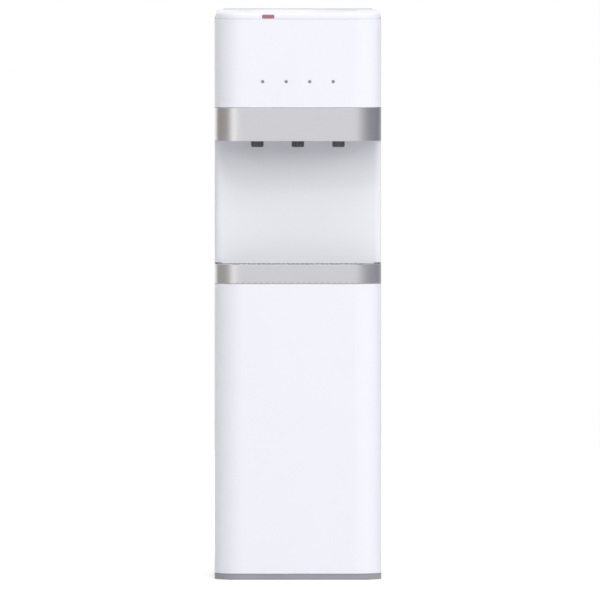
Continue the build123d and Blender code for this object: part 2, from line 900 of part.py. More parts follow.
def cover_block(wall):
    """Block with the top cover's rounded outline, drawn in by wall all round."""
    inset = cover_inset + wall
    with BuildPart() as form:
        extrude(front_outline(cover_z, inset, rear_y - inset), cover_height - wall)
        corners = form.edges().filter_by(Axis.Z).group_by(Axis.Y)[-1]
        fillet(corners, cover_rear_radius - wall)
        fillet(form.faces().sort_by(Axis.Z)[-1].edges(), cover_round - wall)
    return form.part


def button_z():
    """Lower and upper edge of the safety button."""
    return (cover_z + button_lift, cover_z + button_lift + button_height)


def make_top_cover():
    with BuildPart() as top_cover:
        add(cover_block(0))
        add(cover_block(panel_wall), mode=Mode.SUBTRACT)
        ledge = seat_z - seat_wall
        mouth = seat_radius - ledge_reach
        rim = seat_radius + fit + seat_wall
        add(ring(0, bottle_y, rim, mouth, ledge - seat_wall, top_z - panel_wall))
        with Locations((0, bottle_y, ledge)):
            Cylinder(seat_radius + fit, top_z, align=UP, mode=Mode.SUBTRACT)
        with Locations((0, bottle_y, cover_z)):
            Cylinder(mouth, cover_height, align=UP, mode=Mode.SUBTRACT)
        window = (button_x - button_width / 2 - fit, button_x + button_width / 2 + fit)
        front = (front_y, front_y + cover_inset + cover_round)
        low, high = button_z()
        block(window, front, (low - fit, high + fit), mode=Mode.SUBTRACT)
    save(top_cover, "top_cover")


def make_bottle_seat():
    """Funnel that the bottle stands on, with its neck well and a skirt that meets the tank's seal."""
    inner = seat_radius - seat_flange
    slope = seat_cone / (inner - neck_radius)
    skirt_top = seat_z - seat_wall - (inner - skirt_radius) * slope
    outline = (
        (seat_radius, seat_z),
        (inner, seat_z),
        (neck_radius, neck_z),
        (neck_radius, neck_floor + seat_wall),
        (probe_radius + fit, neck_floor + seat_wall),
        (probe_radius + fit, neck_floor),
        (neck_radius + seat_wall, neck_floor),
        (neck_radius + seat_wall, neck_z - seat_wall),
        (skirt_radius - seat_wall, skirt_top - seat_wall * slope),
        (skirt_radius - seat_wall, tank_top + seal_wall),
        (skirt_radius, tank_top + seal_wall),
        (skirt_radius, skirt_top),
        (inner, seat_z - seat_wall),
        (seat_radius, seat_z - seat_wall),
    )
    with BuildPart() as bottle_seat:
        add(lathe(0, bottle_y, outline))
    save(bottle_seat, "bottle_seat")


def make_feed_probe():
    """Hollow spike that opens the bottle's cap and lets its water down into the tank."""
    floor = neck_floor + seat_wall
    tip = seat_z - probe_tip_drop
    outline = (
        (probe_bore, neck_floor - probe_tail),
        (probe_radius, neck_floor - probe_tail),
        (probe_radius, floor),
        (probe_flange, floor),
        (probe_flange, floor + seat_wall),
        (probe_radius, floor + seat_wall),
        (probe_radius, tip),
        (0, tip),
        (0, tip - probe_radius),
        (probe_bore, tip - probe_radius - probe_bore),
    )
    with BuildPart() as feed_probe:
        add(lathe(0, bottle_y, outline))
        fillet(feed_probe.edges().group_by(Axis.Z)[-1], probe_round)
        across = 2 * probe_radius + overcut
        with Locations((0, bottle_y, tip - 3 * probe_radius)):
            Box(across, probe_window, 2 * probe_window, mode=Mode.SUBTRACT)
            Box(probe_window, across, 2 * probe_window, mode=Mode.SUBTRACT)
    save(feed_probe, "feed_probe")


def make_seat_seal():
    with BuildPart() as seat_seal:
        inner = tank_radius - tank_wall
        add(ring(0, bottle_y, tank_radius + tank_rim, inner, tank_top, tank_top + seal_wall))
    save(seat_seal, "seat_seal")


def make_safety_button():
    with BuildPart() as safety_button:
        low, high = button_z()
        front = front_y + cover_inset - button_proud
        half = button_width / 2
        block((button_x - half, button_x + half), (front, front + button_length), (low, high))
        fillet(safety_button.faces().sort_by(Axis.Y)[0].edges(), edge_round)
        stop = front_y + cover_inset + panel_wall + fit
        wide = half + rib_wall
        block((button_x - wide, button_x + wide), (stop, stop + button_stop), (low, low + stop_height))
    save(safety_button, "safety_button")


def make_safety_switch():
    with BuildPart() as safety_switch:
        rear = front_y + cover_inset - button_proud + button_length
        face = rear + button_travel + fit + contact_length
        half = button_width / 2 - edge_bevel
        low, high = button_z()
        block((button_x - half, button_x + half), (face, face + switch_length), (low, top_z - panel_wall))
        with BuildSketch(Plane.XZ.offset(-face)):
            with Locations((button_x, (low + high) / 2)):
                Circle(contact_radius)
        extrude(amount=contact_length)
    save(safety_switch, "safety_switch")


# Cold side


def make_cold_tank():
    """Open steel tank with a rolled rim, a cold port, a room port and the feed to the hot tank."""
    with BuildPart() as cold_tank:
        add(vessel(0, bottle_y, tank_radius, tank_bottom, tank_top, tank_corner))
        with Locations((0, bottle_y, tank_top - tank_wall)):
            Cylinder(tank_radius + tank_rim, tank_wall, align=UP)
        for x, z in ports():
            with BuildSketch(Plane.XZ.offset(-stub_end)):
                with Locations((x, z)):
                    Circle(hose_radius)
            extrude(amount=stub_end - bottle_y)
        with Locations((hot_port_x, hot_tank_y, feed_low)):
            Cylinder(hose_radius, tank_bottom + tank_wall - feed_low, align=UP)
        bore = tank_radius - tank_wall
        floor = tank_bottom + tank_wall
        add(vessel(0, bottle_y, bore, floor, top_z, tank_corner - tank_wall), mode=Mode.SUBTRACT)
        for x, z in ports():
            with BuildSketch(Plane.XZ.offset(-stub_end)):
                with Locations((x, z)):
                    Circle(hose_bore)
            extrude(amount=stub_end - bottle_y, mode=Mode.SUBTRACT)
        with Locations((hot_port_x, hot_tank_y, feed_low)):
            Cylinder(hose_bore, tank_bottom + tank_wall - feed_low, align=UP, mode=Mode.SUBTRACT)
    save(cold_tank, "cold_tank")


def ports():
    """Places of the room port, above the coil, and the cold port, below it."""
    clear = coil_tube + hose_radius + port_gap
    return ((0.0, coil_high + clear), (cold_port_x, coil_low - clear))


def make_tank_baffle():
    """Disc that keeps fresh water above the chilled water, on a tube over the feed to the hot tank."""
    with BuildPart() as tank_baffle:
        floor = tank_bottom + tank_wall
        with Locations((0, bottle_y, floor + baffle_height - baffle_wall)):
            Cylinder(tank_radius - tank_wall - baffle_gap, baffle_wall, align=UP)
        with Locations((hot_port_x, hot_tank_y, floor)):
            Cylinder(2 * hose_radius + baffle_wall, baffle_height, align=UP)
            Cylinder(2 * hose_radius, baffle_height, align=UP, mode=Mode.SUBTRACT)
    save(tank_baffle, "tank_baffle")


def make_evaporator_coil():
    turns = Helix(coil_pitch, coil_turns * coil_pitch, coil_radius)
    route = Pos(0, bottle_y, coil_low) * Rot(0, 0, 90) * turns
    with BuildPart() as evaporator_coil:
        with BuildSketch(Plane(origin=route @ 0, z_dir=route % 0)):
            Circle(coil_tube)
        sweep(path=route)
    save(evaporator_coil, "evaporator_coil")


def make_tank_insulation():
    """Two foam halves round the tank and its coil, with a channel for the pipes at the back."""
    with BuildPart() as tank_insulation:
        high = tank_top - tank_wall - fit
        with Locations((0, bottle_y, support_top)):
            Cylinder(insulation_radius, high - support_top, align=UP)
        with Locations((0, bottle_y, tank_bottom - fit)):
            Cylinder(insulation_bore, high, align=UP, mode=Mode.SUBTRACT)
        clear = hose_radius + hose_clear
        for x, z in ports():
            with BuildSketch(Plane.XZ.offset(-stub_end)):
                with Locations((x, z)):
                    Circle(clear)
            extrude(amount=stub_end - bottle_y, mode=Mode.SUBTRACT)
        with Locations((hot_port_x, hot_tank_y, support_top)):
            Cylinder(clear, insulation_floor, align=UP, mode=Mode.SUBTRACT)
        channel_y = (bottle_y + coil_radius - 2 * coil_tube, tank_rear + overcut)
        channel_z = (coil_low - 3 * coil_tube, coil_high + 3 * coil_tube)
        reach = pipe_port + 2 * pipe_bend
        block((-reach, reach), channel_y, channel_z, mode=Mode.SUBTRACT)
        split(bisect_by=Plane.YZ, keep=Keep.BOTH)
    save(tank_insulation, "tank_insulation")


# Hot side


def make_hot_tank():
    with BuildPart() as hot_tank:
        add(vessel(0, hot_tank_y, hot_tank_radius, hot_tank_z, hot_tank_top, hot_tank_corner))
        fillet(hot_tank.edges().sort_by(Axis.Z)[-1], hot_tank_corner / 2)
        foot_z = hot_shelf_z + brace_wall
        foot_bore = hot_foot_radius - tank_wall
        add(ring(0, hot_tank_y, hot_foot_radius, foot_bore, foot_z, hot_tank_z + tank_wall))
        with Locations((-hot_port_x, hot_tank_y, hot_tank_top), (hot_port_x, hot_tank_y, hot_tank_top)):
            Cylinder(hose_radius, 3 * hose_radius, align=UP)
        with BuildSketch(Plane.XZ.offset(-hot_tank_y)):
            with Locations((0, hot_drain_z())):
                Circle(hose_radius)
        extrude(amount=-(hot_tank_radius + jacket_wall + hose_radius))
    save(hot_tank, "hot_tank")


def hot_drain_z():
    return hot_tank_z + hot_tank_corner


def make_hot_tank_jacket():
    with BuildPart() as hot_tank_jacket:
        outer = hot_tank_radius + jacket_wall
        low = hot_tank_z - jacket_margin
        high = hot_tank_top - jacket_margin
        inner = hot_tank_radius + fit
        band = (heater_low() - fit, heater_low() + heater_height + fit)
        outline = (
            (inner, low),
            (outer, low),
            (outer, high),
            (inner, high),
            (inner, band[1]),
            (inner + heater_wall + fit, band[1]),
            (inner + heater_wall + fit, band[0]),
            (inner, band[0]),
        )
        add(lathe(0, hot_tank_y, outline))
        with BuildSketch(Plane.XZ.offset(-hot_tank_y)):
            with Locations((0, hot_drain_z())):
                Circle(hose_radius + fit)
        extrude(amount=-(outer + overcut), mode=Mode.SUBTRACT)
    save(hot_tank_jacket, "hot_tank_jacket")


def heater_low():
    return hot_drain_z() + heater_rise


def make_heater_band():
    with BuildPart() as heater_band:
        inner = hot_tank_radius + fit
        high = heater_low() + heater_height
        add(ring(0, hot_tank_y, inner + heater_wall, inner, heater_low(), high))
        gap_y = (hot_tank_y - inner - heater_wall, hot_tank_y)
        block((-heater_gap / 2, heater_gap / 2), gap_y, (heater_low(), high), mode=Mode.SUBTRACT)
    save(heater_band, "heater_band")


def make_thermostats():
    with BuildPart() as thermostats:
        spots = [(0, hot_tank_y + side * hot_port_x, hot_tank_top) for side in (-1, 1)]
        with Locations(*spots):
            Cylinder(thermostat_radius, thermostat_height / 2, align=UP)
            Cylinder(thermostat_cap, thermostat_height, align=UP)
    save(thermostats, "thermostats")


# Cooling circuit


def make_compressor():
    """Welded dome on a plate with four rubber-mounted corners, and two pipe ports."""
    with BuildPart() as compressor:
        plate_width = 2 * (plate_x + grommet_radius)
        plate_depth = 2 * (plate_y + grommet_radius)
        with BuildSketch(Plane.XY.offset(plate_z)):
            with Locations((0, compressor_y)):
                RectangleRounded(plate_width, plate_depth, grommet_radius)
                with GridLocations(2 * plate_x, 2 * plate_y, 2, 2):
                    Circle(stud_radius + fit, mode=Mode.SUBTRACT)
        extrude(amount=plate_wall)
        shell_z = plate_z + plate_wall
        with Locations((0, compressor_y, shell_z)):
            Cylinder(compressor_radius, compressor_height, align=UP)
        fillet(compressor.edges().sort_by(Axis.Z)[-1], compressor_dome)
        with Locations((0, compressor_y, shell_z + weld_height)):
            Cylinder(compressor_radius + weld_width, weld_wall, align=UP)
        port_y = compressor_y + pipe_port
        port_low = port_z - port_length - compressor_dome
        with Locations((-pipe_port, port_y, port_low), (pipe_port, port_y, port_low)):
            Cylinder(tube_radius + port_wall, port_z - port_low, align=UP)
    save(compressor, "compressor")


def make_compressor_terminal_cover():
    with BuildPart() as compressor_terminal_cover:
        low = plate_z + plate_wall + weld_height + weld_wall + fit
        reach = (-compressor_radius - terminal_depth, -compressor_radius / 2)
        half = terminal_length / 2
        block(reach, (compressor_y - half, compressor_y + half), (low, low + terminal_height))
        with Locations((0, compressor_y, low)):
            Cylinder(compressor_radius + fit, terminal_height, align=UP, mode=Mode.SUBTRACT)
        fillet(compressor_terminal_cover.faces().sort_by(Axis.X)[0].edges(), rib_wall)
    save(compressor_terminal_cover, "compressor_terminal_cover")


def make_compressor_grommets():
    with BuildPart() as compressor_grommets:
        bore = stud_radius + fit / 2
        groove = grommet_radius - rib_wall
        middle = grommet_z + grommet_height / 2
        for x, y in stud_places():
            outline = (
                (bore, grommet_z),
                (grommet_radius, grommet_z),
                (grommet_radius, middle - rib_wall),
                (groove, middle),
                (grommet_radius, middle + rib_wall),
                (grommet_radius, plate_z),
                (bore, plate_z),
            )
            add(lathe(x, y, outline))
    save(compressor_grommets, "compressor_grommets")


def condenser_runs_z():
    """Heights of the condenser's level runs, from the top one down."""
    return [condenser_top - number * condenser_pitch for number in range(condenser_runs)]


def make_condenser_tube():
    """One tube: up the side of the back, then to and fro down to its outlet."""
    points = [(riser_x, condenser_y, bay_height), (riser_x, condenser_y, condenser_top)]
    side = -1
    for z, next_z in zip(condenser_runs_z(), condenser_runs_z()[1:] + [bay_height]):
        points.append((side * condenser_half, condenser_y, z))
        points.append((side * condenser_half, condenser_y, next_z))
        side = -side
    with BuildPart() as condenser_tube:
        add(pipe(points, tube_radius, tube_bend))
    save(condenser_tube, "condenser_tube")


def make_condenser_wires():
    with BuildPart() as condenser_wires:
        low = condenser_bottom - wire_over
        high = condenser_top + wire_over
        reach = tube_radius + wire_gap + wire_radius
        wire_pitch = 2 * (condenser_half - tube_bend - wire_margin) / (wire_count - 1)
        for y in (condenser_y - reach, condenser_y + reach):
            with Locations((0, y, low)):
                with GridLocations(wire_pitch, 0, wire_count, 1):
                    Cylinder(wire_radius, high - low, align=UP)
    save(condenser_wires, "condenser_wires")


def make_condenser_brackets():
    """Four blocks that hold the condenser's tube off the rear panel."""
    with BuildPart() as condenser_brackets:
        middles = [z - condenser_pitch / 2 for z in condenser_runs_z()[:-1]]
        spots = [(-1, middles[0]), (-1, middles[-1]), (1, middles[1]), (1, middles[-2])]
        for side, z in spots:
            x = side * condenser_half
            outline = (x - bracket_width / 2, x + bracket_width / 2)
            heights = (z - bracket_height / 2, z + bracket_height / 2)
            block(outline, (rear_y, back_y - wire_gap), heights)
            with Locations((x, condenser_y, heights[0])):
                Cylinder(tube_radius + wire_gap, bracket_height, align=UP, mode=Mode.SUBTRACT)
    save(condenser_brackets, "condenser_brackets")


def make_filter_drier():
    """Copper filter between the condenser's outlet and the thin tube that feeds the coil."""
    with BuildPart() as filter_drier:
        low = pipe_level - pipe_bend - drier_length
        high = low + drier_length
        level = pipe_level + 2 * pipe_bend
        inlet = (
            (condenser_half, condenser_y, bay_height - joint_gap),
            (condenser_half, condenser_y, level),
            (condenser_half, drier_y, level),
            (condenser_half, drier_y, high),
        )
        add(pipe(inlet, tube_radius, pipe_bend))
        outline = (
            (0, low),
            (2 * capillary_radius, low),
            (drier_radius, low + drier_radius),
            (drier_radius, high - drier_radius),
            (tube_radius, high),
            (0, high),
        )
        add(lathe(condenser_half, drier_y, outline))
        turn = low - 2 * pipe_bend
        coil_y = bottle_y + coil_radius
        capillary = (
            (condenser_half, drier_y, low),
            (condenser_half, drier_y, turn),
            (condenser_half, inner_pipe_y, turn),
            (capillary_x, inner_pipe_y, turn),
            (capillary_x, inner_pipe_y, coil_low),
            (capillary_x, coil_y, coil_low),
            (joint_gap, coil_y, coil_low),
        )
        add(pipe(capillary, capillary_radius, pipe_bend))
    save(filter_drier, "filter_drier")


def make_discharge_pipe():
    start_y = compressor_y + pipe_port
    points = (
        (pipe_port, start_y, port_z),
        (pipe_port, start_y, pipe_level),
        (riser_x, start_y, pipe_level),
        (riser_x, condenser_y, pipe_level),
        (riser_x, condenser_y, bay_height - joint_gap),
    )
    with BuildPart() as discharge_pipe:
        add(pipe(points, tube_radius, pipe_bend))
    save(discharge_pipe, "discharge_pipe")


def make_suction_pipe():
    coil_y = bottle_y + coil_radius
    end_y = compressor_y + pipe_port
    points = (
        (-joint_gap, coil_y, coil_high),
        (-pipe_port, coil_y, coil_high),
        (-pipe_port, inner_pipe_y, coil_high),
        (-pipe_port, inner_pipe_y, pipe_level),
        (-pipe_port, end_y, pipe_level),
        (-pipe_port, end_y, port_z),
    )
    with BuildPart() as suction_pipe:
        add(pipe(points, coil_tube, pipe_bend))
    save(suction_pipe, "suction_pipe")


# Water lines and drain


def make_water_hoses():
    """Hoses from the tanks to the three taps, from the cold tank down to the hot one, and to the drain."""
    room_port, cold_port = ports()
    inlet_y = tap_y + inlet_reach
    inlet_top = ceiling_top + inlet_height + inlet_rise
    over = inlet_top + 3 * hose_bend
    hot_riser_x = taps["hot"] - 3 * hose_radius
    hot_riser_y = niche_y + panel_wall + hose_radius + 2 * seam + rib_wall
    hot_port_top = hot_tank_top + 3 * hose_radius
    hot_level = hot_port_top + 1.5 * hose_bend
    drain_y = inner_pipe_y - hose_bend - 2 * hose_clear
    routes = (
        (
            (room_port[0], stub_end, room_port[1]),
            (taps["room"], inlet_y, room_port[1]),
            (taps["room"], inlet_y, inlet_top),
        ),
        (
            (cold_port[0], stub_end, cold_port[1]),
            (cold_port[0], inlet_y, cold_port[1]),
            (cold_port[0], inlet_y, over),
            (taps["cold"], inlet_y, over),
            (taps["cold"], inlet_y, inlet_top),
        ),
        (
            (-hot_port_x, hot_tank_y, hot_port_top),
            (-hot_port_x, hot_tank_y, hot_level),
            (hot_riser_x, hot_riser_y, hot_level),
            (hot_riser_x, hot_riser_y, over),
            (taps["hot"], inlet_y, over),
            (taps["hot"], inlet_y, inlet_top),
        ),
        (
            (0, hot_tank_y + hot_tank_radius + jacket_wall + hose_radius, hot_drain_z()),
            (0, drain_y, hot_drain_z()),
            (0, drain_y, drain_z),
            (0, rear_y - drain_reach, drain_z),
        ),
    )
    with BuildPart() as water_hoses:
        for route in routes:
            add(pipe(route, hose_radius, hose_bend))
        with Locations((hot_port_x, hot_tank_y, hot_port_top)):
            Cylinder(hose_radius, feed_low - hot_port_top, align=UP)
    save(water_hoses, "water_hoses")


def spool(x, z, points):
    """Solid of revolution about an axis along Y, from a closed outline of radius and Y."""
    with BuildPart() as turned:
        with BuildSketch(Plane(origin=(x, 0, z), x_dir=(1, 0, 0), z_dir=(0, 0, 1))):
            with BuildLine():
                Polyline(*points, close=True)
            make_face()
        revolve(axis=Axis((x, 0, z), (0, 1, 0)))
    return turned.part


def make_drain_stub():
    end = rear_y + drain_reach
    outline = (
        (drain_bore, rear_y - drain_reach),
        (drain_radius, rear_y - drain_reach),
        (drain_radius, rear_y),
        (drain_flange, rear_y),
        (drain_flange, rear_y + rib_wall),
        (drain_radius, rear_y + rib_wall),
        (drain_radius, end),
        (drain_bore, end),
    )
    with BuildPart() as drain_stub:
        add(spool(0, drain_z, outline))
    save(drain_stub, "drain_stub")


def make_drain_cap():
    low = rear_y + rib_wall + run_gap
    high = low + drain_cap_length
    bore = drain_radius + run_gap
    outline = (
        (bore, low),
        (drain_cap_radius, low),
        (drain_cap_radius, high - edge_bevel),
        (drain_cap_radius - edge_bevel, high),
        (0, high),
        (0, rear_y + drain_reach + run_gap),
        (bore, rear_y + drain_reach + run_gap),
    )
    with BuildPart() as drain_cap:
        add(spool(0, drain_z, outline))
    save(drain_cap, "drain_cap")


def make_power_gland():
    """Bush in the rear panel that a mains lead would pass through."""
    inside = rear_y - sheet_wall
    flange = gland_radius + rib_wall
    outline = (
        (gland_bore, inside - 2 * rib_wall),
        (flange, inside - 2 * rib_wall),
        (flange, inside),
        (gland_radius, inside),
        (gland_radius, rear_y),
        (flange, rear_y),
        (flange, rear_y + rib_wall),
        (gland_nose, rear_y + gland_length),
        (gland_bore, rear_y + gland_length),
    )
    with BuildPart() as power_gland:
        add(spool(gland_x, drain_z, outline))
    save(power_gland, "power_gland")


# Rear switches


def rocker_places():
    return {"hot": switch_x - rocker_pitch / 2, "cold": switch_x + rocker_pitch / 2}


def make_switch_bezel():
    with BuildPart() as switch_bezel:
        with BuildSketch(Plane.XZ.offset(-(rear_y + bezel_wall))):
            with Locations((switch_x, switch_z)):
                RectangleRounded(bezel_width, bezel_height, bezel_wall)
        extrude(amount=bezel_wall)
        fillet(switch_bezel.faces().sort_by(Axis.Y)[-1].edges(), edge_round)
        half = bezel_width / 2 - bezel_wall - fit
        rise = bezel_height / 2 - bezel_wall - fit
        inside = (rear_y - bezel_depth, rear_y)
        block((switch_x - half, switch_x + half), inside, (switch_z - rise, switch_z + rise))
        for x in rocker_places().values():
            wide = rocker_width / 2 + fit
            long = rocker_length / 2 + 2 * seam + fit
            pocket = (rear_y - pocket_depth, rear_y + bezel_wall)
            block((x - wide, x + wide), pocket, (switch_z - long, switch_z + long), mode=Mode.SUBTRACT)
            with BuildSketch(Plane.YZ.offset(x - wide - rocker_pin)):
                with Locations((rocker_y, switch_z)):
                    Circle(rocker_pin + trunnion_gap)
            extrude(amount=2 * wide + 2 * rocker_pin, mode=Mode.SUBTRACT)
    save(switch_bezel, "switch_bezel")


def make_rocker(name, x):
    """Two-lobed rocker on its pin, resting with its lower end pressed in."""
    tilt = radians(rocker_tilt)
    tilted = Plane(
        origin=(x - rocker_width / 2, rocker_y, switch_z),
        x_dir=(0, cos(tilt), -sin(tilt)),
        z_dir=(1, 0, 0),
    )
    half = rocker_length / 2
    outline = (
        (rocker_face - rocker_edge, -half),
        (rocker_face, -half),
        (rocker_face - rocker_dip, 0),
        (rocker_face, half),
        (rocker_face - rocker_edge, half),
        (-rocker_heel, rocker_heel),
        (-rocker_heel, -rocker_heel),
    )
    with BuildPart() as rocker:
        with BuildSketch(tilted):
            with BuildLine():
                Polyline(*outline, close=True)
            make_face()
        extrude(amount=rocker_width)
        with BuildSketch(Plane.YZ.offset(x - rocker_width / 2 - rocker_pin)):
            with Locations((rocker_y, switch_z)):
                Circle(rocker_pin)
        extrude(amount=rocker_width + 2 * rocker_pin)
    save(rocker, f"rocker_{name}")


os.makedirs("parts", exist_ok=True)

make_base_pan()
make_foot_pads()
make_side_panel("side_panel_left", -1)
make_side_panel("side_panel_right", 1)
make_rear_panel()
make_lower_front_panel()
make_tray_shelf()
make_niche_panel()
make_niche_ceiling()
make_tap_band()
make_upper_front_panel()
make_cross_braces()
make_tray_band()
make_drip_tray()
make_drip_grille()
for tap, place in taps.items():
    make_tap_body(tap, place)
    make_tap_lever(tap, place)
    make_tap_plunger(tap, place)
    make_tap_spring(tap, place)
make_tap_bonnets()
make_indicator_lenses()
make_indicator_board()
make_top_cover()
make_bottle_seat()
make_feed_probe()
make_seat_seal()
make_safety_button()
make_safety_switch()
make_cold_tank()
make_tank_baffle()
make_evaporator_coil()
make_tank_insulation()
make_hot_tank()
make_hot_tank_jacket()
make_heater_band()
make_thermostats()
make_compressor()
make_compressor_terminal_cover()
make_compressor_grommets()
make_condenser_tube()
make_condenser_wires()
make_condenser_brackets()
make_filter_drier()
make_discharge_pipe()
make_suction_pipe()
make_water_hoses()
make_drain_stub()
make_drain_cap()
make_power_gland()
make_switch_bezel()
for switch, place in rocker_places().items():
    make_rocker(switch, place)
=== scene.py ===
import json
import math

import bmesh
import bpy
from mathutils import Matrix, Vector


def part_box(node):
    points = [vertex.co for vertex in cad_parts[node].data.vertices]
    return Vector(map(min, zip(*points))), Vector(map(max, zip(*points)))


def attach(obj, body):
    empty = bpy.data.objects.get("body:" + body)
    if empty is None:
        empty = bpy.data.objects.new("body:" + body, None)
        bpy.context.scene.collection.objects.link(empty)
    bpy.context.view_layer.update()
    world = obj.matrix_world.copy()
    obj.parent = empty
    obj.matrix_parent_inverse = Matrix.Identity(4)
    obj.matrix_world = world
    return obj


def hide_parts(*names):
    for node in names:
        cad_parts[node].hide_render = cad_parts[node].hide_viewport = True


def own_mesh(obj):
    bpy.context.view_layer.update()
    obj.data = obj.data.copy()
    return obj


# Finishes and small pieces of a water cooler, in metres, set on the frame of its CAD model.

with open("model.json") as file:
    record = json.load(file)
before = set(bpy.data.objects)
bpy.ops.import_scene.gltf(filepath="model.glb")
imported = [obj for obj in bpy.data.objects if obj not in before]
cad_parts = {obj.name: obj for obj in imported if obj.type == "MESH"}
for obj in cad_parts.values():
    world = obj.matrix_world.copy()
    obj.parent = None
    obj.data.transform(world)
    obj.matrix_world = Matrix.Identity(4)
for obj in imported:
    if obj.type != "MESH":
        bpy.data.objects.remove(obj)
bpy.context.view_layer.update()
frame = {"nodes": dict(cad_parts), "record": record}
nodes = frame["nodes"]
slot_of = {part["node"]: part["material_slot"] for part in frame["record"]["subparts"]}

# Planes of the cabinet's front and of its rear sheet
FRONT_Y = -0.170
REAR_Y = 0.150


# Materials


def material(name):
    """New material whose node tree holds only a shader and its output."""
    mat = bpy.data.materials.new(name)
    mat.use_nodes = True
    tree = mat.node_tree
    tree.nodes.clear()
    out = tree.nodes.new("ShaderNodeOutputMaterial")
    bsdf = tree.nodes.new("ShaderNodeBsdfPrincipled")
    tree.links.new(bsdf.outputs["BSDF"], out.inputs["Surface"])
    return mat, tree, bsdf


def dress(tree, bsdf, color=None, rough=None, normal=None):
    """Links what is given to the shader's colour, roughness and normal."""
    for socket, value in (("Base Color", color), ("Roughness", rough), ("Normal", normal)):
        if value is not None:
            tree.links.new(value, bsdf.inputs[socket])


def coordinates(tree, stretch=(1, 1, 1)):
    source = tree.nodes.new("ShaderNodeTexCoord")
    mapping = tree.nodes.new("ShaderNodeMapping")
    mapping.inputs["Scale"].default_value = stretch
    tree.links.new(source.outputs["Object"], mapping.inputs["Vector"])
    return mapping.outputs["Vector"]


def noise(tree, vector, scale, detail=2.0, rough=0.5, distort=0.0):
    node = tree.nodes.new("ShaderNodeTexNoise")
    node.inputs["Scale"].default_value = scale
    node.inputs["Detail"].default_value = detail
    node.inputs["Roughness"].default_value = rough
    node.inputs["Distortion"].default_value = distort
    tree.links.new(vector, node.inputs["Vector"])
    return node.outputs["Fac"]


def cells(tree, vector, scale, output="Distance"):
    node = tree.nodes.new("ShaderNodeTexVoronoi")
    node.inputs["Scale"].default_value = scale
    tree.links.new(vector, node.inputs["Vector"])
    return node.outputs[output]


def spread(tree, value, low, high, from_low=0.3, from_high=0.7):
    """Maps a value to the range from low to high; noise lies mostly between 0.3 and 0.7."""
    node = tree.nodes.new("ShaderNodeMapRange")
    node.inputs["From Min"].default_value = from_low
    node.inputs["From Max"].default_value = from_high
    node.inputs["To Min"].default_value = low
    node.inputs["To Max"].default_value = high
    tree.links.new(value, node.inputs["Value"])
    return node.outputs["Result"]


def color_mixer(tree, factor):
    """Node that mixes two colours by factor, with its two colour inputs."""
    node = tree.nodes.new("ShaderNodeMix")
    node.data_type = "RGBA"
    tree.links.new(factor, node.inputs[0])
    return node, node.inputs[6], node.inputs[7]


def blend_colors(tree, factor, low, high):
    node, first, second = color_mixer(tree, factor)
    first.default_value = (*low, 1)
    second.default_value = (*high, 1)
    return node.outputs[2]


def bump(tree, height, strength, distance, under=None):
    node = tree.nodes.new("ShaderNodeBump")
    node.inputs["Strength"].default_value = strength
    node.inputs["Distance"].default_value = distance
    tree.links.new(height, node.inputs["Height"])
    if under is not None:
        tree.links.new(under, node.inputs["Normal"])
    return node.outputs["Normal"]


def shade(color, amount):
    """Colour made lighter by a positive amount, or darker by a negative one."""
    return tuple(max(0.0, c * (1 + amount)) for c in color)


def clouded(tree, place, scale, color, amount):
    """Colour that drifts a little darker and lighter over the surface."""
    tone = spread(tree, noise(tree, place, scale, detail=4), 0, 1)
    return blend_colors(tree, tone, shade(color, -amount), shade(color, amount))


def plastic(name, color, rough, grain, clouds, peel=0.05, grain_scale=1500, coat=0.0):
    """Moulded plastic: faint clouds of tone, a spark-eroded grain and slow waves in the gloss."""
    mat, tree, bsdf = material(name)
    place = coordinates(tree)
    tone = clouded(tree, place, 9, color, clouds)
    gloss = spread(tree, noise(tree, place, scale=30, detail=3), rough - 0.03, rough + 0.05)
    waves = bump(tree, noise(tree, place, scale=160, detail=1), peel, 0.0004)
    fine = bump(tree, noise(tree, place, grain_scale), grain, 0.00012, waves)
    dress(tree, bsdf, tone, gloss, fine)
    bsdf.inputs["Coat Weight"].default_value = coat
    bsdf.inputs["Coat Roughness"].default_value = 0.12
    return mat


def powder_coat(name, color, rough, peel):
    """Sheet steel under powder coat: a close orange peel over slow changes of tone."""
    mat, tree, bsdf = material(name)
    place = coordinates(tree)
    tone = clouded(tree, place, 6, color, 0.015)
    gloss = spread(tree, noise(tree, place, scale=55, detail=3), rough - 0.04, rough + 0.06)
    waves = bump(tree, noise(tree, place, scale=420, rough=0.6), peel, 0.0003)
    pits = bump(tree, noise(tree, place, scale=1900), 0.6 * peel, 0.0001, waves)
    dress(tree, bsdf, tone, gloss, pits)
    return mat


def brushed(name, color, rough, stretch, depth, streaks, anisotropy=0.35, speckle=0.12):
    """Satin metal; stretch is low along the grain and high across it, and even where it has no direction."""
    mat, tree, bsdf = material(name)
    lines = noise(tree, coordinates(tree, stretch), scale=1.0, detail=3, rough=0.6)
    specks = noise(tree, coordinates(tree), scale=700, rough=0.7)
    both = tree.nodes.new("ShaderNodeMath")
    both.operation = "ADD"
    tree.links.new(lines, both.inputs[0])
    tree.links.new(spread(tree, specks, -speckle, speckle), both.inputs[1])
    share = spread(tree, both.outputs["Value"], 0, 1)
    tone = blend_colors(tree, share, shade(color, -streaks), shade(color, streaks))
    gloss = spread(tree, lines, rough - 0.05, rough + 0.07)
    dress(tree, bsdf, tone, gloss, bump(tree, lines, depth, 0.00008))
    bsdf.inputs["Metallic"].default_value = 1.0
    bsdf.inputs["Anisotropic"].default_value = anisotropy
    return mat


def band_silver(name, color, rough):
    """Satin silver with a fine level grain."""
    return brushed(name, color, rough, (9, 9, 1400), depth=0.05, streaks=0.03, anisotropy=0.3, speckle=0.5)


def screw_steel(name, color):
    """Plated steel of small fasteners, with a fine grain that has no direction."""
    return brushed(name, color, 0.3, (900, 900, 900), depth=0.1, streaks=0.08, anisotropy=0.0)


